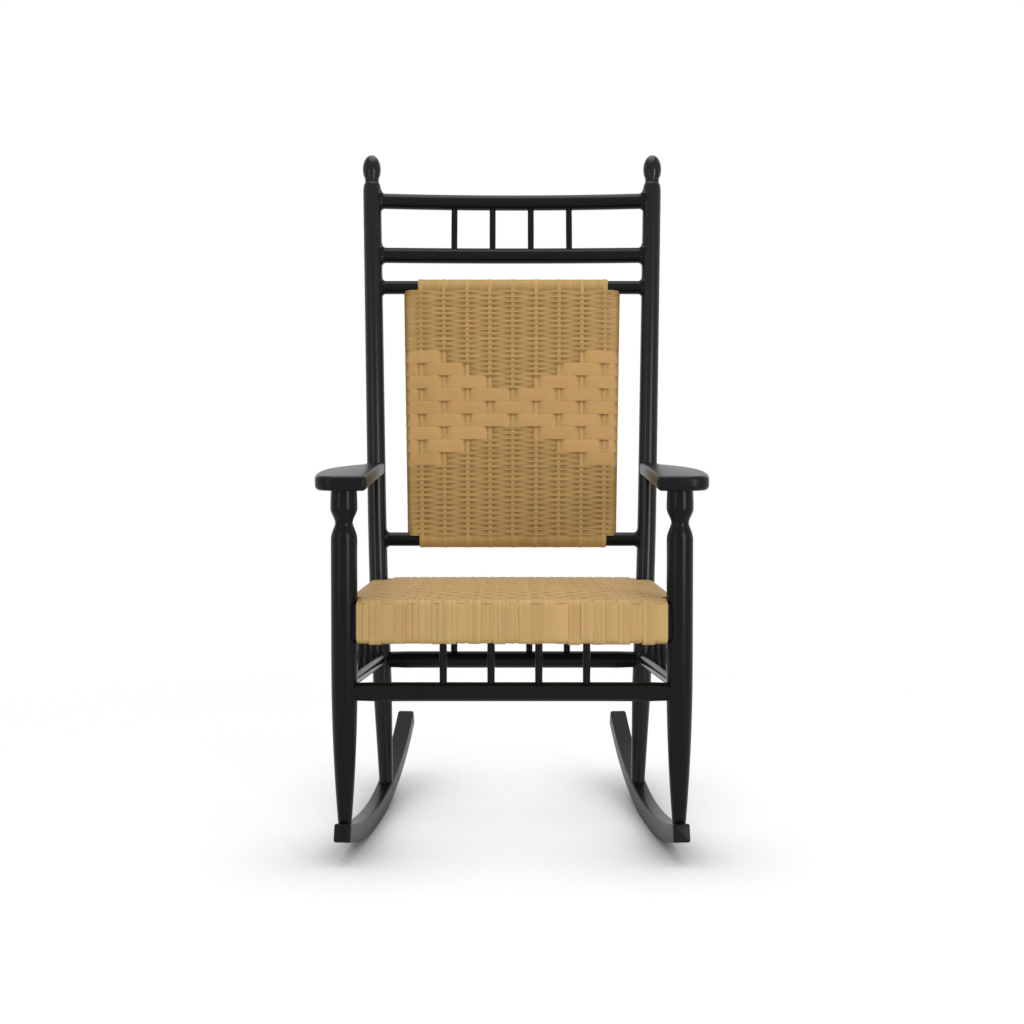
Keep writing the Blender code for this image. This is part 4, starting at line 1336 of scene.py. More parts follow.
@dataclass
class Undercarriage:
    """Four stretchers under the seat, and sixteen spindles from them up to the seat's rails."""

    posts: PostLine
    seat: SeatPlane
    leg_radius: float = 0.0215
    radius: float = 0.0155
    side_radius: float = 0.0125
    end_radius: float = 0.0148
    side_end_radius: float = 0.0090
    taper: float = 0.028
    front_height: float = 0.280
    rear_height: float = 0.267
    side_front_height: float = 0.292
    side_rear_height: float = 0.270
    spindle_radius: float = 0.0058
    front_pitch: float = 0.0775
    front_shift: float = 0.0047
    rear_pitch: float = 0.0700
    rear_shift: float = -0.0028
    side_pitch: float = 0.0775
    seat_rail_inset: float = 0.008
    front_rail_reach: float = -0.0049

    def stretcher(self, workshop: Workshop, node: str, ends: Sequence[Vector], radius: float, thin: float) -> None:
        """Makes a stretcher, thinner where it enters the uprights.

        Args:
            workshop: What dresses it.
            node: The solid that it stands for.
            ends: Points on the two uprights' axes.
            radius: Its radius.
            thin: Its radius at the ends.
        """
        length = (ends[1] - ends[0]).length
        shares = [(1 - math.cos(math.pi * share)) / 2 for share in steps_between(0, 1, 60)]
        points = [ends[0].lerp(ends[1], share) for share in shares]
        radii = []
        for share in shares:
            distance = min(share, 1 - share) * length
            radii.append(thin + (radius - thin) * smoothstep(0, self.taper, distance - self.leg_radius))
        make_bar(workshop, node, points, radii)

    def build(self, workshop: Workshop) -> None:
        """Makes the stretchers and spindles.

        Args:
            workshop: What dresses them.
        """
        front = [at(side * LEG_X, 0, self.front_height) for side in (-1, 1)]
        rear = [self.posts.point(side, self.rear_height) for side in (-1, 1)]
        self.stretcher(workshop, "stretcher_front", front, self.radius, self.end_radius)
        self.stretcher(workshop, "stretcher_rear", rear, self.radius, self.end_radius)
        rear_reach = self.posts.reach(self.seat.top - self.seat.thickness / 2)
        rear_x = self.posts.x(self.seat.top - self.seat.thickness / 2)
        for name, side in SIDES.items():
            ends = [at(side * LEG_X, 0, self.side_front_height), self.posts.point(side, self.side_rear_height)]
            self.stretcher(workshop, f"stretcher_{name}", ends, self.side_radius, self.side_end_radius)
            rail = [self.seat.point(side * (LEG_X - self.seat_rail_inset), 0)]
            rail.append(self.seat.point(side * rear_x, rear_reach))
            for i in range(4):
                share = 0.5 + self.side_pitch * (i - 1.5) / (ends[1] - ends[0]).length
                low, high = ends[0].lerp(ends[1], share), rail[0].lerp(rail[1], share)
                self.spindle(workshop, f"{name}_spindle_{i + 1}", low, high)
        for i in range(4):
            x = self.front_shift + self.front_pitch * (i - 1.5)
            low = at(x, 0, self.front_height)
            self.spindle(workshop, f"front_spindle_{i + 1}", low, self.seat.point(x, self.front_rail_reach))
            x = self.rear_shift + self.rear_pitch * (i - 1.5)
            low = at(x, self.posts.reach(self.rear_height), self.rear_height)
            self.spindle(workshop, f"rear_spindle_{i + 1}", low, self.seat.point(x, rear_reach))

    def spindle(self, workshop: Workshop, node: str, low: Vector, rail: Vector) -> None:
        """Makes a spindle that ends inside its seat rail.

        Args:
            workshop: What dresses it.
            node: The solid that it stands for.
            low: Its lower end, on the stretcher's axis.
            rail: The point on the seat rail's axis that it runs to.
        """
        high = rail + (low - rail).normalized() * self.seat.thickness / 3
        make_spindle(workshop, node, low, high, self.spindle_radius)


# The weave


@dataclass(frozen=True)
class Reed:
    """A cut of rattan: its width, its thickness, and the corners of its section."""

    width: float
    thickness: float
    corners: int = 8

    def section(self, share: float = 1.0) -> Section:
        """Draws the reed's section, flat with full edges.

        Args:
            share: Its width against the usual.

        Returns:
            Its corners, as (across, facing) pairs.
        """
        section = []
        for i in range(self.corners):
            turn = 2 * math.pi * (i + 0.5) / self.corners
            c, s = math.cos(turn), math.sin(turn)
            across = self.width * share / 2 * math.copysign(abs(c) ** 0.4, c)
            section.append((across, self.thickness / 2 * math.copysign(abs(s) ** 0.8, s)))
        return section


def draw_tone(source: random.Random, spread: float) -> Tone:
    """Draws one reed's tone.

    Args:
        source: The seeded numbers.
        spread: How far reeds differ in lightness.

    Returns:
        The tone.
    """
    return Tone(min(1.0, max(0.0, source.gauss(0.5, spread))), source.random())


@dataclass
class WovenBack:
    """The back panel: stakes round its two rails, and reeds woven through them and round its upright rods.

    Its own axes run across it (u), up it from the lower rail (v), and out of its front (w). Wide bands fill
    a bow-tie in its middle, and pairs of fine reeds the rest.
    """

    posts: PostLine
    low_height: float = 0.4905
    high_height: float = 0.965
    layer: float = 0.01515
    rail_layer: float = 0.0149
    wrap_layer: float = 0.0147
    rod_layer: float = 0.0093
    ease_start: float = 0.1415
    edge_x: float = 0.2000
    fan: float = 0.063
    stake_fan: float = 0.045
    rail_ease: float = 0.035
    wrap_half_width: float = 0.1771
    column_pitch: float = 0.0430
    column_shift: float = 0.0016
    columns_a_side: int = 4
    band_pitch: float = 0.0246
    band_base: float = 0.1375
    band_rows: int = 9
    full_rows: tuple[int, int] = (3, 5)
    fine_rows_a_band: int = 5
    stake: Reed = Reed(0.0074, 0.0020)
    band: Reed = Reed(0.0249, 0.0013, 12)
    weft: Reed = Reed(0.0026, 0.0014)
    wrap: Reed = Reed(0.0109, 0.0013, 12)
    band_dip: float = 0.0014
    dip_span: tuple[float, float] = (0.0030, 0.0150)
    weft_dip: float = 0.0013
    over_power: float = 0.7
    under_power: float = 1.6
    tuck_span: tuple[float, float] = (0.003, 0.011)
    fine_overlap: float = 0.004
    band_overlap: float = 0.002
    stake_steps: int = 176
    stake_lean: float = 0.0006
    stake_lightness: tuple[float, float] = (0.65, 0.95)
    # Where the painted shadow of a band falls on the stakes below it, and how far it spreads.
    shade_drop: float = 0.0012
    shade_reach: float = 0.0042
    rail_steps: int = 12
    wrap_share: tuple[float, float] = (1.08, 1.14)
    row_shift: float = 0.0001
    wrap_tones: float = 0.08
    band_tones: float = 0.09
    weft_tones: float = 0.17
    step: float = 0.00555
    seed: int = 4

    def __post_init__(self) -> None:
        """Sets the panel's axes and its seeded numbers."""
        self.origin = at(0, self.posts.reach(self.low_height), self.low_height)
        top = at(0, self.posts.reach(self.high_height), self.high_height)
        self.length = (top - self.origin).length
        self.rise = (top - self.origin).normalized()
        self.out = ACROSS.cross(self.rise)
        self.rod_x = self.edge_x - self.rod_layer
        self.numbers = random.Random(self.seed)

    def place(self, u: float, v: float, w: float) -> Vector:
        """Places a point of the panel, which is wider at its top than at its bottom.

        Args:
            u: Distance across, as it is halfway up.
            v: Distance up.
            w: Distance out of its front.

        Returns:
            The point.
        """
        across = u * (1 + self.fan * (v / self.length - 0.5))
        return self.origin + ACROSS * across + self.rise * v + self.out * w

    def stake_place(self, u: float, v: float, w: float) -> Vector:
        """Places a point of a stake, which leans out less than the panel's edges.

        Args:
            u: Distance across, as it is halfway up.
            v: Distance up.
            w: Distance out of the panel's front.

        Returns:
            The point.
        """
        return self.place(u / self.spread(v), v, w)

    def spread(self, v: float) -> float:
        """Compares the panel's fan with the stakes'.

        Args:
            v: Distance up.

        Returns:
            How much wider the panel has grown there than the row of stakes.
        """
        up = v / self.length - 0.5
        return (1 + self.fan * up) / (1 + self.stake_fan * up)

    def half_depth(self, u: float, v: float) -> float:
        """Finds how far a layer's middle is from the panel's middle plane.

        Args:
            u: Distance across.
            v: Distance up.

        Returns:
            The distance, less near the upright rods than over the rails.
        """
        thin = self.layer - self.rod_layer
        from_rail = min(v, self.length - v)
        near_rod = smoothstep(self.ease_start, self.rod_x, abs(u))
        return self.layer - thin * near_rod * smoothstep(0, self.rail_ease, from_rail)

    def wave(self, row: int, dip: float, inner: float | None = None) -> Wave:
        """Makes the over and under of a weft.

        Args:
            row: Its row. The first row goes over the middle stake.
            dip: How far it goes over and under.
            inner: Distance across of the stakes that hide its ends, if it stops there.

        Returns:
            The offset out of the panel, by distance across.
        """
        sign = 1 if row % 2 == 0 else -1
        outermost = self.column_pitch * self.columns_a_side

        def offset(u: float) -> float:
            """Reads the wave.

            Args:
                u: Distance across.

            Returns:
                The offset.
            """
            u -= self.column_shift
            value = sign * math.cos(math.pi * u / self.column_pitch)
            value = value**self.over_power if value > 0 else -((-value) ** self.under_power)
            if inner is not None:
                tuck = 1 - smoothstep(*self.tuck_span, abs(abs(u) - inner))
                value = value * (1 - tuck) - tuck
            return dip * value * (1 - smoothstep(outermost, self.rod_x, abs(u)))

        return offset

    def band_wave(self, row: int, inner: float | None) -> Wave:
        """Makes the over and under of a band, which lies flat and dips shortly under every other stake.

        Args:
            row: Its row. The first row goes over the middle stake.
            inner: Distance across of the stakes that hide its ends, if it stops there.

        Returns:
            The offset out of the panel, by distance across.
        """
        outermost = self.column_pitch * self.columns_a_side
        hidden = self.column_pitch if row % 2 == 0 else 0.0

        def offset(u: float) -> float:
            """Reads the wave.

            Args:
                u: Distance across.

            Returns:
                The offset.
            """
            u -= self.column_shift
            away = abs((u - hidden + self.column_pitch) % (2 * self.column_pitch) - self.column_pitch)
            if inner is not None and abs(abs(u) - inner) < self.column_pitch / 2:
                away = abs(abs(u) - inner)
            value = 2 * smoothstep(*self.dip_span, away) - 1
            return self.band_dip * value * (1 - smoothstep(outermost, self.rod_x, abs(u)))

        return offset

    def run(self, start: float, end: float, v: float, wave: Wave, face: int) -> list[Vector]:
        """Lays part of a weft across one face of the panel.

        Args:
            start: Distance across where it starts.
            end: Distance across where it ends.
            v: Its height up the panel.
            wave: Its over and under.
            face: 1 on the front and -1 on the back.

        Returns:
            Its points.
        """
        count = max(2, round(abs(end - start) / self.step))
        points = []
        for u in steps_between(start, end, count):
            offset = wave(u * self.spread(v))
            points.append(self.place(u, v, face * (self.half_depth(u, v) + offset)))
        return points

    def turn_round(self, side: int, v: float) -> list[Vector]:
        """Lays part of a weft round an upright rod.

        Args:
            side: -1 or 1. On the right the reed goes from the front to the back.
            v: Its height up the panel.

        Returns:
            Its points, without those on the faces.
        """
        radius = self.half_depth(self.rod_x, v)
        centre = self.edge_x - radius
        points = []
        for i in range(1, 8):
            turn = math.pi * i / 8
            u = side * (centre + radius * math.sin(turn))
            points.append(self.place(u, v, side * radius * math.cos(turn)))
        return points

    def turn_start(self, v: float) -> float:
        """Finds where a weft leaves the face for its rod.

        Args:
            v: Its height.

        Returns:
            Distance across.
        """
        return self.edge_x - self.half_depth(self.rod_x, v)

    def wefts(self, v: float, wave: Wave, span: tuple[float, float] | None) -> list[tuple[list[Vector], bool]]:
        """Lays the reeds of one row.

        Args:
            v: The row's height up the panel.
            wave: Its over and under.
            span: None for a full row, (0, x) for one within x of the middle, or (x, 0) for one from x outwards.

        Returns:
            Each reed's points, and whether it closes on itself.
        """
        end = self.turn_start(v)
        if span is None:
            points = self.run(-end, end, v, wave, 1) + self.turn_round(1, v)
            return [(points + self.run(end, -end, v, wave, -1) + self.turn_round(-1, v), True)]
        if span[0] == 0:
            x = span[1] + self.fine_overlap
            return [(self.run(-x, x, v, wave, 1), False), (self.run(x, -x, v, wave, -1), False)]
        x = span[0] - self.band_overlap
        right = self.run(x, end, v, wave, 1) + self.turn_round(1, v) + self.run(end, x, v, wave, -1)
        left = self.run(-x, -end, v, wave, -1) + self.turn_round(-1, v) + self.run(-end, -x, v, wave, 1)
        return [(right, False), (left, False)]

    def lay(
        self, skin: Skin, points: list[Vector], closed: bool, reed: Reed, tone: Tone, edge_shade: float = 0.0
    ) -> None:
        """Adds a weft along its points.

        Args:
            skin: What gathers the reeds.
            points: The reed's middle line.
            closed: Whether it closes on itself.
            reed: Its cut.
            tone: Its tone.
            edge_shade: How much of the painted shade in its dips lies on its upper edge only, as a painted shadow of
                the band above.
        """
        # Painted shade: the further a point lies behind its layer, the darker it is painted.
        painted_dip_shade = []
        for point in points:
            local = point - self.origin
            depth = abs(local.dot(self.out))
            below = self.half_depth(local.dot(ACROSS), local.dot(self.rise)) - depth
            painted_dip_shade.append(min(1.0, max(0.0, below / self.weft_dip)))
        stations = loop_stations(points, self.rise, closed)
        skin.add(stations, [reed.section()] * len(points), closed, tone, painted_dip_shade, edge_shade)

    def row_span(self, row: int) -> float | None:
        """Finds where a band stops short of the middle.

        Args:
            row: Its row.

        Returns:
            Distance across, or None.
        """
        first, last = self.full_rows
        if first <= row <= last:
            return None
        return self.column_pitch * (first - row if row < first else row - last)

    def build(self, workshop: Workshop) -> None:
        """Makes the panel's reeds.

        Args:
            workshop: What dresses them.
        """
        self.build_stakes(workshop)
        self.build_bands(workshop)
        self.build_wefts(workshop)
        self.build_wraps(workshop)

    def build_stakes(self, workshop: Workshop) -> None:
        """Makes the stakes, which go round both rails.

        Args:
            workshop: What dresses them.
        """
        skin = Skin()
        for column in range(-self.columns_a_side, self.columns_a_side + 1):
            u = column * self.column_pitch + self.column_shift
            lean = self.numbers.uniform(-self.stake_lean, self.stake_lean)
            heights = steps_between(0, self.length, self.stake_steps)
            shade = [self.stake_shade(column, v) for v in heights]
            points = [self.stake_place(u + lean, v, self.half_depth(u, v)) for v in heights]
            points += self.round_rail(u + lean, self.length, self.rail_layer, 1)
            points += [self.stake_place(u - lean, v, -self.half_depth(u, v)) for v in reversed(heights)]
            points += self.round_rail(u - lean, 0.0, self.rail_layer, -1)
            tone = Tone(self.numbers.uniform(*self.stake_lightness), self.numbers.random())
            unshaded = [0.0] * (self.rail_steps - 1)
            # The stakes' painted shade: a painted shadow under each band that passes behind them, none round the
            # rails.
            painted_dip_shade = shade + unshaded + shade[::-1] + unshaded
            sections = [self.stake.section()] * len(points)
            skin.add(loop_stations(points, -ACROSS, True), sections, True, tone, painted_dip_shade)
        workshop.seat(skin.build("back_stakes"), Finish.STAKE_REED, "rattan", ["back_weave"])

    def stake_shade(self, column: int, v: float) -> float:
        """Finds the shade on a stake from the band above, where a band passes behind it.

        Args:
            column: The stake's column.
            v: Distance up it.

        Returns:
            The shade, 0 to 1.
        """
        shade = 0.0
        for row in range(self.band_rows):
            first_column = round((self.row_span(row) or 0.0) / self.column_pitch)
            if (row + column) % 2 == 1 and abs(column) >= first_column:
                edge = self.band_base + self.band_pitch * (row + 1) - self.shade_drop
                shade = max(shade, 1 - smoothstep(0, self.shade_reach, abs(v - edge)))
        return shade

    def round_rail(self, u: float, v: float, radius: float, side: int) -> list[Vector]:
        """Lays a reed half round a rail.

        Args:
            u: Distance across.
            v: The rail's height up the panel.
            radius: Radius of the reed's middle line.
            side: 1 over the upper rail from front to back, and -1 under the lower one and up again.

        Returns:
            Its points, without those on the faces.
        """
        turns = [math.pi * i / self.rail_steps for i in range(1, self.rail_steps)]
        return [self.stake_place(u, v + side * radius * math.sin(t), side * radius * math.cos(t)) for t in turns]

    def build_wraps(self, workshop: Workshop) -> None:
        """Makes the reeds wound side by side round both rails.

        Args:
            workshop: What dresses them.
        """
        skin = Skin()
        radius = self.wrap_layer
        count = round(2 * self.wrap_half_width / self.wrap.width)
        pitch = 2 * self.wrap_half_width / count
        for v in (0.0, self.length):
            for i in range(count):
                u = self.column_shift - self.wrap_half_width + pitch * (i + 0.5)
                points = [self.stake_place(u, v, radius)] + self.round_rail(u, v, radius, 1)
                points += [self.stake_place(u, v, -radius)] + self.round_rail(u, v, radius, -1)
                section = self.wrap.section(self.numbers.uniform(*self.wrap_share))
                tone = draw_tone(self.numbers, self.wrap_tones)
                skin.add(loop_stations(points, -ACROSS, True), [section] * len(points), True, tone)
        workshop.seat(skin.build("back_rail_wraps"), Finish.FINE_REED, "rattan")

    def build_bands(self, workshop: Workshop) -> None:
        """Makes the wide bands of the bow-tie.

        Args:
            workshop: What dresses them.
        """
        skin = Skin()
        for row in range(self.band_rows):
            inner = self.row_span(row)
            v = self.band_base + self.band_pitch * (row + 0.5)
            wave = self.band_wave(row, inner)
            for points, closed in self.wefts(v, wave, None if inner is None else (inner, 0)):
                tone = draw_tone(self.numbers, self.band_tones)
                # The bands' painted shade keeps to their upper edges, as a painted shadow of the band above.
                self.lay(skin, points, closed, self.band, tone, edge_shade=1.0)
        workshop.seat(skin.build("back_bands"), Finish.WIDE_REED, "rattan")

    def fine_rows(self) -> list[tuple[float, int, float | None]]:
        """Lists the rows of fine reeds.

        Returns:
            For each row its height up the panel, its number, and how far it reaches from the middle, or None for
            a full row.
        """
        pitch = self.band_pitch / self.fine_rows_a_band
        rows = []
        first = -math.floor(self.band_base / pitch)
        last = math.floor((self.length - self.band_base) / pitch)
        for number in range(first, last - 1):
            v = self.band_base + pitch * (number + 0.5)
            band = number // self.fine_rows_a_band
            if band < 0 or band >= self.band_rows:
                rows.append((v, number, None))
            elif self.row_span(band) is not None:
                rows.append((v, number, self.row_span(band)))
        return rows

    def build_wefts(self, workshop: Workshop) -> None:
        """Makes the fine reeds, two to a row.

        Args:
            workshop: What dresses them.
        """
        skin = Skin()
        for v, number, outer in self.fine_rows():
            span = None if outer is None else (0, outer)
            wave = self.wave(number, self.weft_dip, outer)
            shift = self.numbers.uniform(-self.row_shift, self.row_shift)
            for half in (-0.5, 0.5):
                height = v + half * self.weft.width + shift
                tone = draw_tone(self.numbers, self.weft_tones)
                for points, closed in self.wefts(height, wave, span):
                    self.lay(skin, points, closed, self.weft, tone)
        workshop.seat(skin.build("back_fine_wefts"), Finish.FINE_REED, "rattan")


@dataclass
class WovenSeat:
    """The seat: strips from front to back over its rails, and bands from side to side through them.

    Its own axes are those of the seat's plane. Strips and bands go all the way round, so that the
    underside is woven too.
    """

    posts: PostLine
    plane: SeatPlane
    front: float = 0.022
    rear_overhang: float = 0.0171
    edge: float = 0.011
    crown: float = 0.004
    side_drop: float = 0.010
    side_drop_shares: tuple[float, float] = (1.9, 1.5)
    side_round: float = 0.024
    inset: float = 0.0016
    front_half_width: float = 0.2513
    rear_half_width: float = 0.2262
    side_front_x: float = 0.2811
    side_rear_x: float = 0.2649
    column_pitch: float = 0.0201
    columns_a_side: int = 12
    rim_turn: float = math.radians(20)
    first_row: float = 0.0045
    row_pitch: float = 0.0248
    row_count: int = 18
    strip: Reed = Reed(0.0205, 0.0015, 12)
    band: Reed = Reed(0.0234, 0.0014, 12)
    rim_band: Reed = Reed(0.0140, 0.0014, 12)
    dip: float = 0.0014
    upright_span: tuple[float, float] = (0.3, 0.95)
    wrapless_rows: tuple[float, float] = (1.5, 2.2)
    sag: float = 0.0028
    sag_span: tuple[float, float] = (0.01, 0.06)
    bulge: tuple[float, float] = (-0.0004, 0.0010)
    tilt: float = 0.0003
    # How dark the painted shade in a seat reed's dips gets.
    painted_dip_shade_share: float = 0.7
    strip_tones: float = 0.13
    band_tones: float = 0.10
    band_share: tuple[float, float] = (0.96, 1.0)
    band_fade: tuple[float, float] = (-0.004, 0.006)
    step: float = 0.006
    seed: int = 11

    def __post_init__(self) -> None:
        """Sets the seat's extent and its seeded numbers."""
        self.rear = self.posts.reach(self.plane.top - self.plane.thickness / 2) + self.rear_overhang
        self.face = self.plane.thickness / 2 - self.inset
        self.matrix = self.plane.place()
        self.numbers = random.Random(self.seed)

    def dome(self, x: float, reach: float) -> float:
        """Finds how much the seat's top rises towards its middle and rounds off at its sides.

        Args:
            x: Where across the seat.
            reach: Where along it.

        Returns:
            The rise.
        """
        middle = (self.rear - self.front) / 2
        along = (reach - middle) / (self.rear + self.front) * 2
        across = x / self.side_front_x
        share = max(0.0, min(1.0, reach / self.rear))
        side = self.side_front_x + (self.side_rear_x - self.side_front_x) * share
        rounding = min(1.0, max(0.0, abs(x) - side + self.side_round) / self.side_round)
        front_share, less_behind = self.side_drop_shares
        side_drop = self.side_drop * (front_share - less_behind * share) * (1 - math.sqrt(1 - rounding**2))
        return self.crown * max(0.0, 1 - along**2) * max(0.0, 1 - across**2) - side_drop

    def loop(self, low: float, high: float) -> list[tuple[float, float, float, float]]:
        """Draws a rounded loop round the seat's thickness.

        Args:
            low: Where it starts along its own direction.
            high: Where it ends.

        Returns:
            (along, height, outward along, outward height) of each point, over the top, down, back and up.
        """
        r = self.edge
        flat = max(2, round((high - low - 2 * r) / self.step))
        wall = max(2, round((2 * self.face - 2 * r) / self.step))
        turns = steps_between(0, math.pi / 2, 4)
        top = [(a, self.face, 0, 1) for a in steps_between(low + r, high - r, flat)[:-1]]
        path = top
        for t in turns:
            path.append((high - r + r * math.sin(t), self.face - r + r * math.cos(t), math.sin(t), math.cos(t)))
        path += [(high, h, 1, 0) for h in steps_between(self.face - r, r - self.face, wall)[1:-1]]
        for t in turns:
            path.append((high - r + r * math.cos(t), r - self.face - r * math.sin(t), math.cos(t), -math.sin(t)))
        path += [(a, -self.face, 0, -1) for a in steps_between(high - r, low + r, flat)[1:-1]]
        for t in turns:
            path.append((low + r - r * math.sin(t), r - self.face - r * math.cos(t), -math.sin(t), -math.cos(t)))
        path += [(low, h, -1, 0) for h in steps_between(r - self.face, self.face - r, wall)[1:-1]]
        for t in turns[:-1]:
            path.append((low + r - r * math.cos(t), self.face - r + r * math.sin(t), -math.cos(t), math.sin(t)))
        return path

    def strip_offset(self, column: int, reach: float, upright: float) -> float:
        """Finds how far a strip stands over or under the bands.

        Args:
            column: The strip's column.
            reach: Where along the seat.
            upright: How much the surface there faces forwards or backwards, 0 to 1.

        Returns:
            The offset outwards.
        """
        sign = 1 if column % 2 == 0 else -1
        last_row = self.first_row + self.row_pitch * (self.row_count - 1)
        rim = self.edge * (1 - math.sin(self.rim_turn)) - self.front
        phase = (min(last_row, reach) - self.first_row) / self.row_pitch
        if reach < self.first_row:
            phase = (self.first_row - max(rim, reach)) / (self.first_row - rim)
        value = sign * math.cos(math.pi * phase)
        return self.dip * value * (1 - smoothstep(*self.upright_span, upright))

    def band_offset(self, row: int, x: float, narrow: float) -> float:
        """Finds how far a band stands over or under the strips.

        Args:
            row: The band's row.
            x: Where across the seat.
            narrow: How much closer the strips are there than at the front.

        Returns:
            The offset outwards.
        """
        sign = -1 if row % 2 == 0 else 1
        reach = self.column_pitch * narrow * (self.columns_a_side + 0.5)
        value = sign * math.cos(math.pi * x / (self.column_pitch * narrow))
        inner, outer = self.band_fade
        return self.dip * value * (1 - smoothstep(reach + inner, reach + outer, abs(x)))

    def narrowing(self, reach: float) -> float:
        """Finds how much closer the strips are.

        Args:
            reach: Where along the seat.

        Returns:
            A share.
        """
        share = (reach + self.front) / (self.rear + self.front)
        return 1 + (self.rear_half_width / self.front_half_width - 1) * share

    def build(self, workshop: Workshop) -> None:
        """Makes the seat's reeds.

        Args:
            workshop: What dresses them.
        """
        self.build_strips(workshop)
        self.build_bands(workshop)

    def split_column(self) -> list[tuple[float, float]]:
        """Draws how one column divides into strips.

        Returns:
            (shift, width) shares of the column.
        """
        cuts = [[(0.0, 1.0)], [(-0.25, 0.51), (0.25, 0.51)], [(-0.17, 0.67), (0.33, 0.34)]]
        cuts += [[(0.17, 0.67), (-0.33, 0.34)], [(-0.335, 0.34), (0.0, 0.34), (0.335, 0.34)]]
        cuts += [[(-0.255, 0.475), (0.25, 0.49)]]
        return self.numbers.choices(cuts, weights=(4, 4, 3, 3, 3, 2))[0]

    def build_strips(self, workshop: Workshop) -> None:
        """Makes the strips from front to back.

        Args:
            workshop: What dresses them.
        """
        skin = Skin()
        path = self.loop(self.inset - self.front, self.rear - self.inset)
        for column in range(-self.columns_a_side, self.columns_a_side + 1):
            sag = self.numbers.uniform(0.0, self.sag)
            bulge = self.numbers.uniform(*self.bulge)
            for shift, width in self.split_column():
                points = []
                painted_dip_shade = []
                tilt = self.numbers.uniform(-self.tilt, self.tilt)
                for reach, height, out_reach, out_height in path:
                    x = (column + shift) * self.column_pitch * self.narrowing(reach)
                    offset = self.strip_offset(column, reach, abs(out_reach))
                    if out_height < 0:
                        offset += sag * -out_height * (1 - smoothstep(*self.sag_span, reach))
                    offset += (bulge + tilt) * abs(out_reach)
                    height += self.dome(x, reach) * max(0.0, height / self.face)
                    points.append(self.matrix @ Vector((x, reach + out_reach * offset, height + out_height * offset)))
                    # Painted shade where the strip dips under a band.
                    painted_dip_shade.append(max(0.0, -offset / self.dip) * self.painted_dip_shade_share)
                reed = Reed(self.strip.width * width, self.strip.thickness, self.strip.corners)
                sections = [reed.section(self.narrowing(reach)) for reach, *_ in path]
                stations = loop_stations(points, -ACROSS, True)
                skin.add(stations, sections, True, draw_tone(self.numbers, self.strip_tones), painted_dip_shade)
        workshop.seat(skin.build("seat_strips"), Finish.FLAT_REED, "rattan", ["seat_weave"])

    def band_half_width(self, reach: float) -> float:
        """Finds how far out a band goes, less beside the legs and posts.

        Args:
            reach: The band's place along the seat.

        Returns:
            Distance out from the chair's middle.
        """
        at_front, at_rear = self.wrapless_rows
        if reach < self.first_row + at_front * self.row_pitch:
            return self.front_half_width
        if reach > self.rear - at_rear * self.row_pitch:
            return self.rear_half_width
        share = reach / (self.rear - self.rear_overhang)
        return self.side_front_x + (self.side_rear_x - self.side_front_x) * share - self.inset

    def bend_section(self, section: Section, tilt: float) -> Section:
        """Bends a band's cut round the seat's front edge.

        Args:
            section: The flat cut.
            tilt: How far the band leans forwards.

        Returns:
            The bent cut.
        """
        bent = [(a, b - a * a / (2 * self.edge)) for a, b in section]
        cos, sin = math.cos(tilt), math.sin(tilt)
        return [(a * cos - b * sin, b * cos + a * sin) for a, b in bent]

    def build_bands(self, workshop: Workshop) -> None:
        """Makes the bands from side to side.

        Args:
            workshop: What dresses them.
        """
        skin = Skin()
        back = (self.matrix.to_3x3() @ Vector((0, 1, 0))).normalized()
        for row in range(-1, self.row_count):
            reach = self.first_row + self.row_pitch * row
            tilt = 0.0
            width = self.numbers.uniform(*self.band_share)
            reed = self.band
            if row == -1:
                tilt = self.rim_turn
                reach = self.edge * (1 - math.sin(tilt)) - self.front + self.inset
                reed = self.rim_band
            half = self.band_half_width(reach)
            narrow = self.narrowing(reach)
            points = []
            painted_dip_shade = []
            for x, height, out_x, out_height in self.loop(-half, half):
                offset = self.band_offset(row, x, narrow)
                height += self.dome(x, reach) * max(0.0, height / self.face)
                height -= math.copysign(self.edge * (1 - math.cos(tilt)), height)
                ahead = abs(out_height) * offset * math.sin(tilt)
                rise = out_height * offset * math.cos(tilt)
                points.append(self.matrix @ Vector((x + out_x * offset, reach - ahead, height + rise)))
                # Painted shade where the band dips under a strip.
                painted_dip_shade.append(max(0.0, -offset / self.dip) * self.painted_dip_shade_share)
            section = reed.section(width)
            if row == -1:
                section = self.bend_section(section, tilt)
            tone = draw_tone(self.numbers, self.band_tones)
            skin.add(loop_stations(points, back, True), [section] * len(points), True, tone, painted_dip_shade)
        workshop.seat(skin.build("seat_bands"), Finish.FLAT_REED, "rattan")


@dataclass
class PanelRails:
    """The two round rails that carry the woven back."""

    posts: PostLine
    top_height: float = 0.965
    bottom_height: float = 0.4905
    radius: float = 0.0128
    post_radius: float = 0.0174
    fillet_size: float = 0.0065

    def build(self, workshop: Workshop) -> None:
        """Makes the rails.

        Args:
            workshop: What dresses them.
        """
        for name, height in (("panel_top_rail", self.top_height), ("panel_bottom_rail", self.bottom_height)):
            span = 2 * self.posts.x(height)
            shares = bar_shares(span, self.post_radius, self.fillet_size)
            points = [self.posts.between(height, share) for share in shares]
            surfaces = [min(share, 1 - share) * span - self.post_radius for share in shares]
            make_bar(workshop, name, points, [self.radius] * len(points), joint_swells(surfaces, self.fillet_size))


# The studio


@dataclass(frozen=True)
class SoftLamp:
    """A rectangular lamp: where it hangs, where it looks, its width and height, and its power in watts."""

    name: str
    place: Vector
    target: Vector
    size: tuple[float, float]
    power: float

    def build(self) -> None:
        """Adds the lamp."""
        light = bpy.data.lights.new(self.name, "AREA")
        light.shape = "RECTANGLE"
        light.size, light.size_y = self.size
        light.energy = self.power
        lamp = bpy.data.objects.new(self.name, light)
        lamp.location = self.place
        lamp.rotation_euler = (self.target - self.place).to_track_quat("-Z", "Y").to_euler()
        bpy.context.scene.collection.objects.link(lamp)


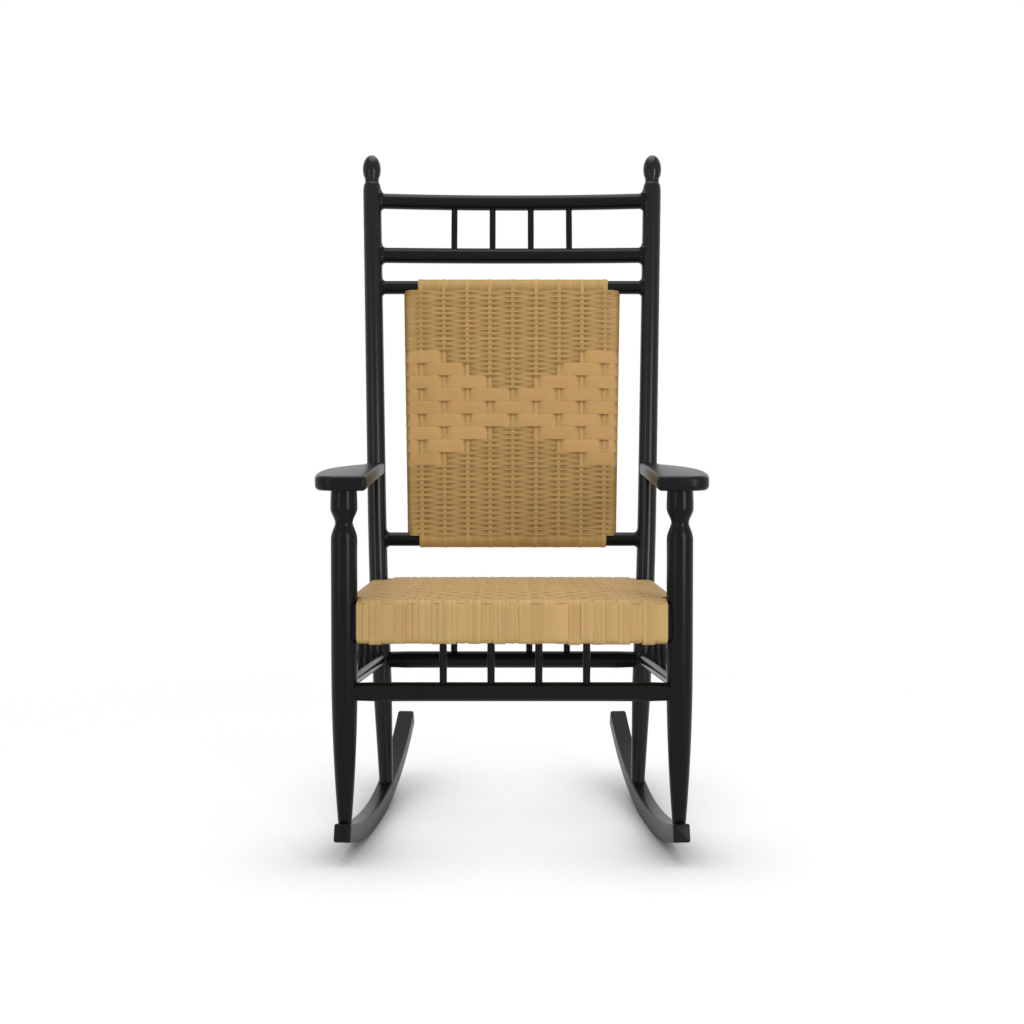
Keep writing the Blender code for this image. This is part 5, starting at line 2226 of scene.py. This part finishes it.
@dataclass
class Studio:
    """A pale floor that fades into a white surround, soft lamps, and the camera.

    The floor glows for the eye alone, dimmed by a painted shadow where something stands close over it, and passes
    its full colour on as light.
    """

    floor_radius: float = 4.0
    floor_colour: Colour = (0.95, 0.95, 0.95)
    floor_glow: float = 0.81
    floor_lit: float = 0.21
    floor_roughness: float = 0.9
    # Reach, sharpness and samples of the painted shadow that dims the floor's glow.
    painted_shadow_reach: float = 0.24
    painted_shadow_power: float = 2.0
    painted_shadow_samples: int = 8
    clear_radius: float = 0.9
    fade_radius: float = 1.8
    surround: float = 0.50
    lens: float = 62.07
    sensor_width: float = 36.0
    shift_down: float = 0.06
    camera_distance: float = 2.8514
    camera_height: float = 0.7750
    camera_pitch: float = 2.071

    def build(self) -> None:
        """Makes the floor, the lamps, the surround and the camera."""
        self.build_floor()
        self.build_surround()
        SoftLamp("main_lamp", Vector((1.9, -2.9, 1.3)), Vector((0.0, 0.0, 1.2)), (1.0, 2.3), 58).build()
        SoftLamp("fill_lamp", Vector((-2.1, -2.6, 1.3)), Vector((0.0, 0.0, 1.2)), (0.5, 2.2), 13).build()
        SoftLamp("top_lamp", Vector((0.0, 0.3, 3.4)), Vector((0.0, 0.0, 0.4)), (2.2, 2.2), 54).build()
        self.add_camera()
        bpy.context.scene.view_settings.view_transform = "Standard"

    def build_floor(self) -> None:
        """Makes a round floor with the real shadow and a painted shadow close under the chair, fading out far from
        it.
        """
        mesh = bpy.data.meshes.new("floor")
        turns = steps_between(0, 2 * math.pi, 96)[:-1]
        rim = [(self.floor_radius * math.cos(turn), self.floor_radius * math.sin(turn), 0) for turn in turns]
        mesh.from_pydata(rim, [], [tuple(range(len(rim)))])
        floor = bpy.data.objects.new("floor", mesh)
        bpy.context.scene.collection.objects.link(floor)
        material, wiring, shader = new_material("floor")
        shader.inputs["Roughness"].default_value = self.floor_roughness
        shader.inputs["Specular IOR Level"].default_value = 0.0
        place = wiring.node("TexCoord").outputs["Object"]
        length = wiring.node("VectorMath", operation="LENGTH")
        wiring.join(place, length.inputs[0])
        fading = {"From Min": self.clear_radius, "From Max": self.fade_radius, "To Min": 1.0, "To Max": 0.0}
        fade = wiring.node("MapRange", fading)
        wiring.join(length.outputs["Value"], fade.inputs["Value"])
        wiring.join(fade.outputs[0], shader.inputs["Alpha"])
        seen = self.mark_seen(wiring)
        lit = (self.floor_lit,) * 3
        wiring.join(wiring.mix(seen, self.floor_colour, lit), shader.inputs["Base Color"])
        # Painted shadow: ambient occlusion dims the glow where the chair stands close over the floor.
        contact = wiring.node("AmbientOcclusion", {"Distance": self.painted_shadow_reach}, samples=self.painted_shadow_samples)
        open_share = wiring.math("POWER", contact.outputs["AO"], self.painted_shadow_power)
        glow = wiring.mix(wiring.math("MULTIPLY", seen, open_share), (0.0, 0.0, 0.0), (self.floor_glow,) * 3)
        wiring.join(glow, shader.inputs["Emission Color"])
        shader.inputs["Emission Strength"].default_value = 1.0
        mesh.materials.append(material)

    def build_surround(self) -> None:
        """Makes the surround: white to the camera and in reflections, softer as a light."""
        world = bpy.data.worlds.new("surround")
        world.use_nodes = True
        wiring = Wiring(world.node_tree)
        background = world.node_tree.nodes["Background"]
        background.inputs["Color"].default_value = (1.0, 1.0, 1.0, 1.0)
        level = wiring.math("MULTIPLY", self.mark_seen(wiring), 1.0 - self.surround)
        wiring.join(wiring.math("ADD", level, self.surround), background.inputs["Strength"])
        bpy.context.scene.world = world

    def mark_seen(self, wiring: Wiring) -> bpy.types.NodeSocket:
        """Tells what is seen from what only passes light on.

        Args:
            wiring: The wiring of the floor or the surround.

        Returns:
            The socket: 1 for the camera, also in gloss and through glass, and 0 otherwise.
        """
        path = wiring.node("LightPath")
        seen = wiring.math("MAXIMUM", path.outputs["Is Camera Ray"], path.outputs["Is Glossy Ray"])
        return wiring.math("MAXIMUM", seen, path.outputs["Is Transmission Ray"])

    def add_camera(self) -> None:
        """Adds the camera, straight in front of the chair and a little above its arms."""
        data = bpy.data.cameras.new("camera")
        data.lens = self.lens
        data.sensor_width = self.sensor_width
        data.shift_y = -self.shift_down
        camera = bpy.data.objects.new("camera", data)
        camera.location = (0.0, FRONT_Y - self.camera_distance, self.camera_height)
        camera.rotation_euler = (math.radians(90 - self.camera_pitch), 0, 0)
        bpy.context.scene.collection.objects.link(camera)
        bpy.context.scene.camera = camera


def main() -> None:
    """Builds the chair's sub-assemblies in order, and then the studio."""
    logging.basicConfig(level=logging.INFO, format="%(message)s")
    workshop = Workshop()
    posts = PostLine()
    plane = SeatPlane()
    rockers = Rockers(posts)
    assemblies = [rockers, FrontLegs(rockers), RearPosts(posts, rockers), Arms(posts), Gallery(posts)]
    assemblies += [PanelRails(posts), Undercarriage(posts, plane), WovenBack(posts), WovenSeat(posts, plane)]
    for assembly in assemblies:
        assembly.build(workshop)
    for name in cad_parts:
        if "screw" in name:
            workshop.dress_solid(name, Finish.STEEL)
        elif name.startswith(("seat_rail", "panel_side")):
            workshop.dress_solid(name, Finish.INNER_PAINT)
    Studio().build()


if __name__ == "__main__":
    main()
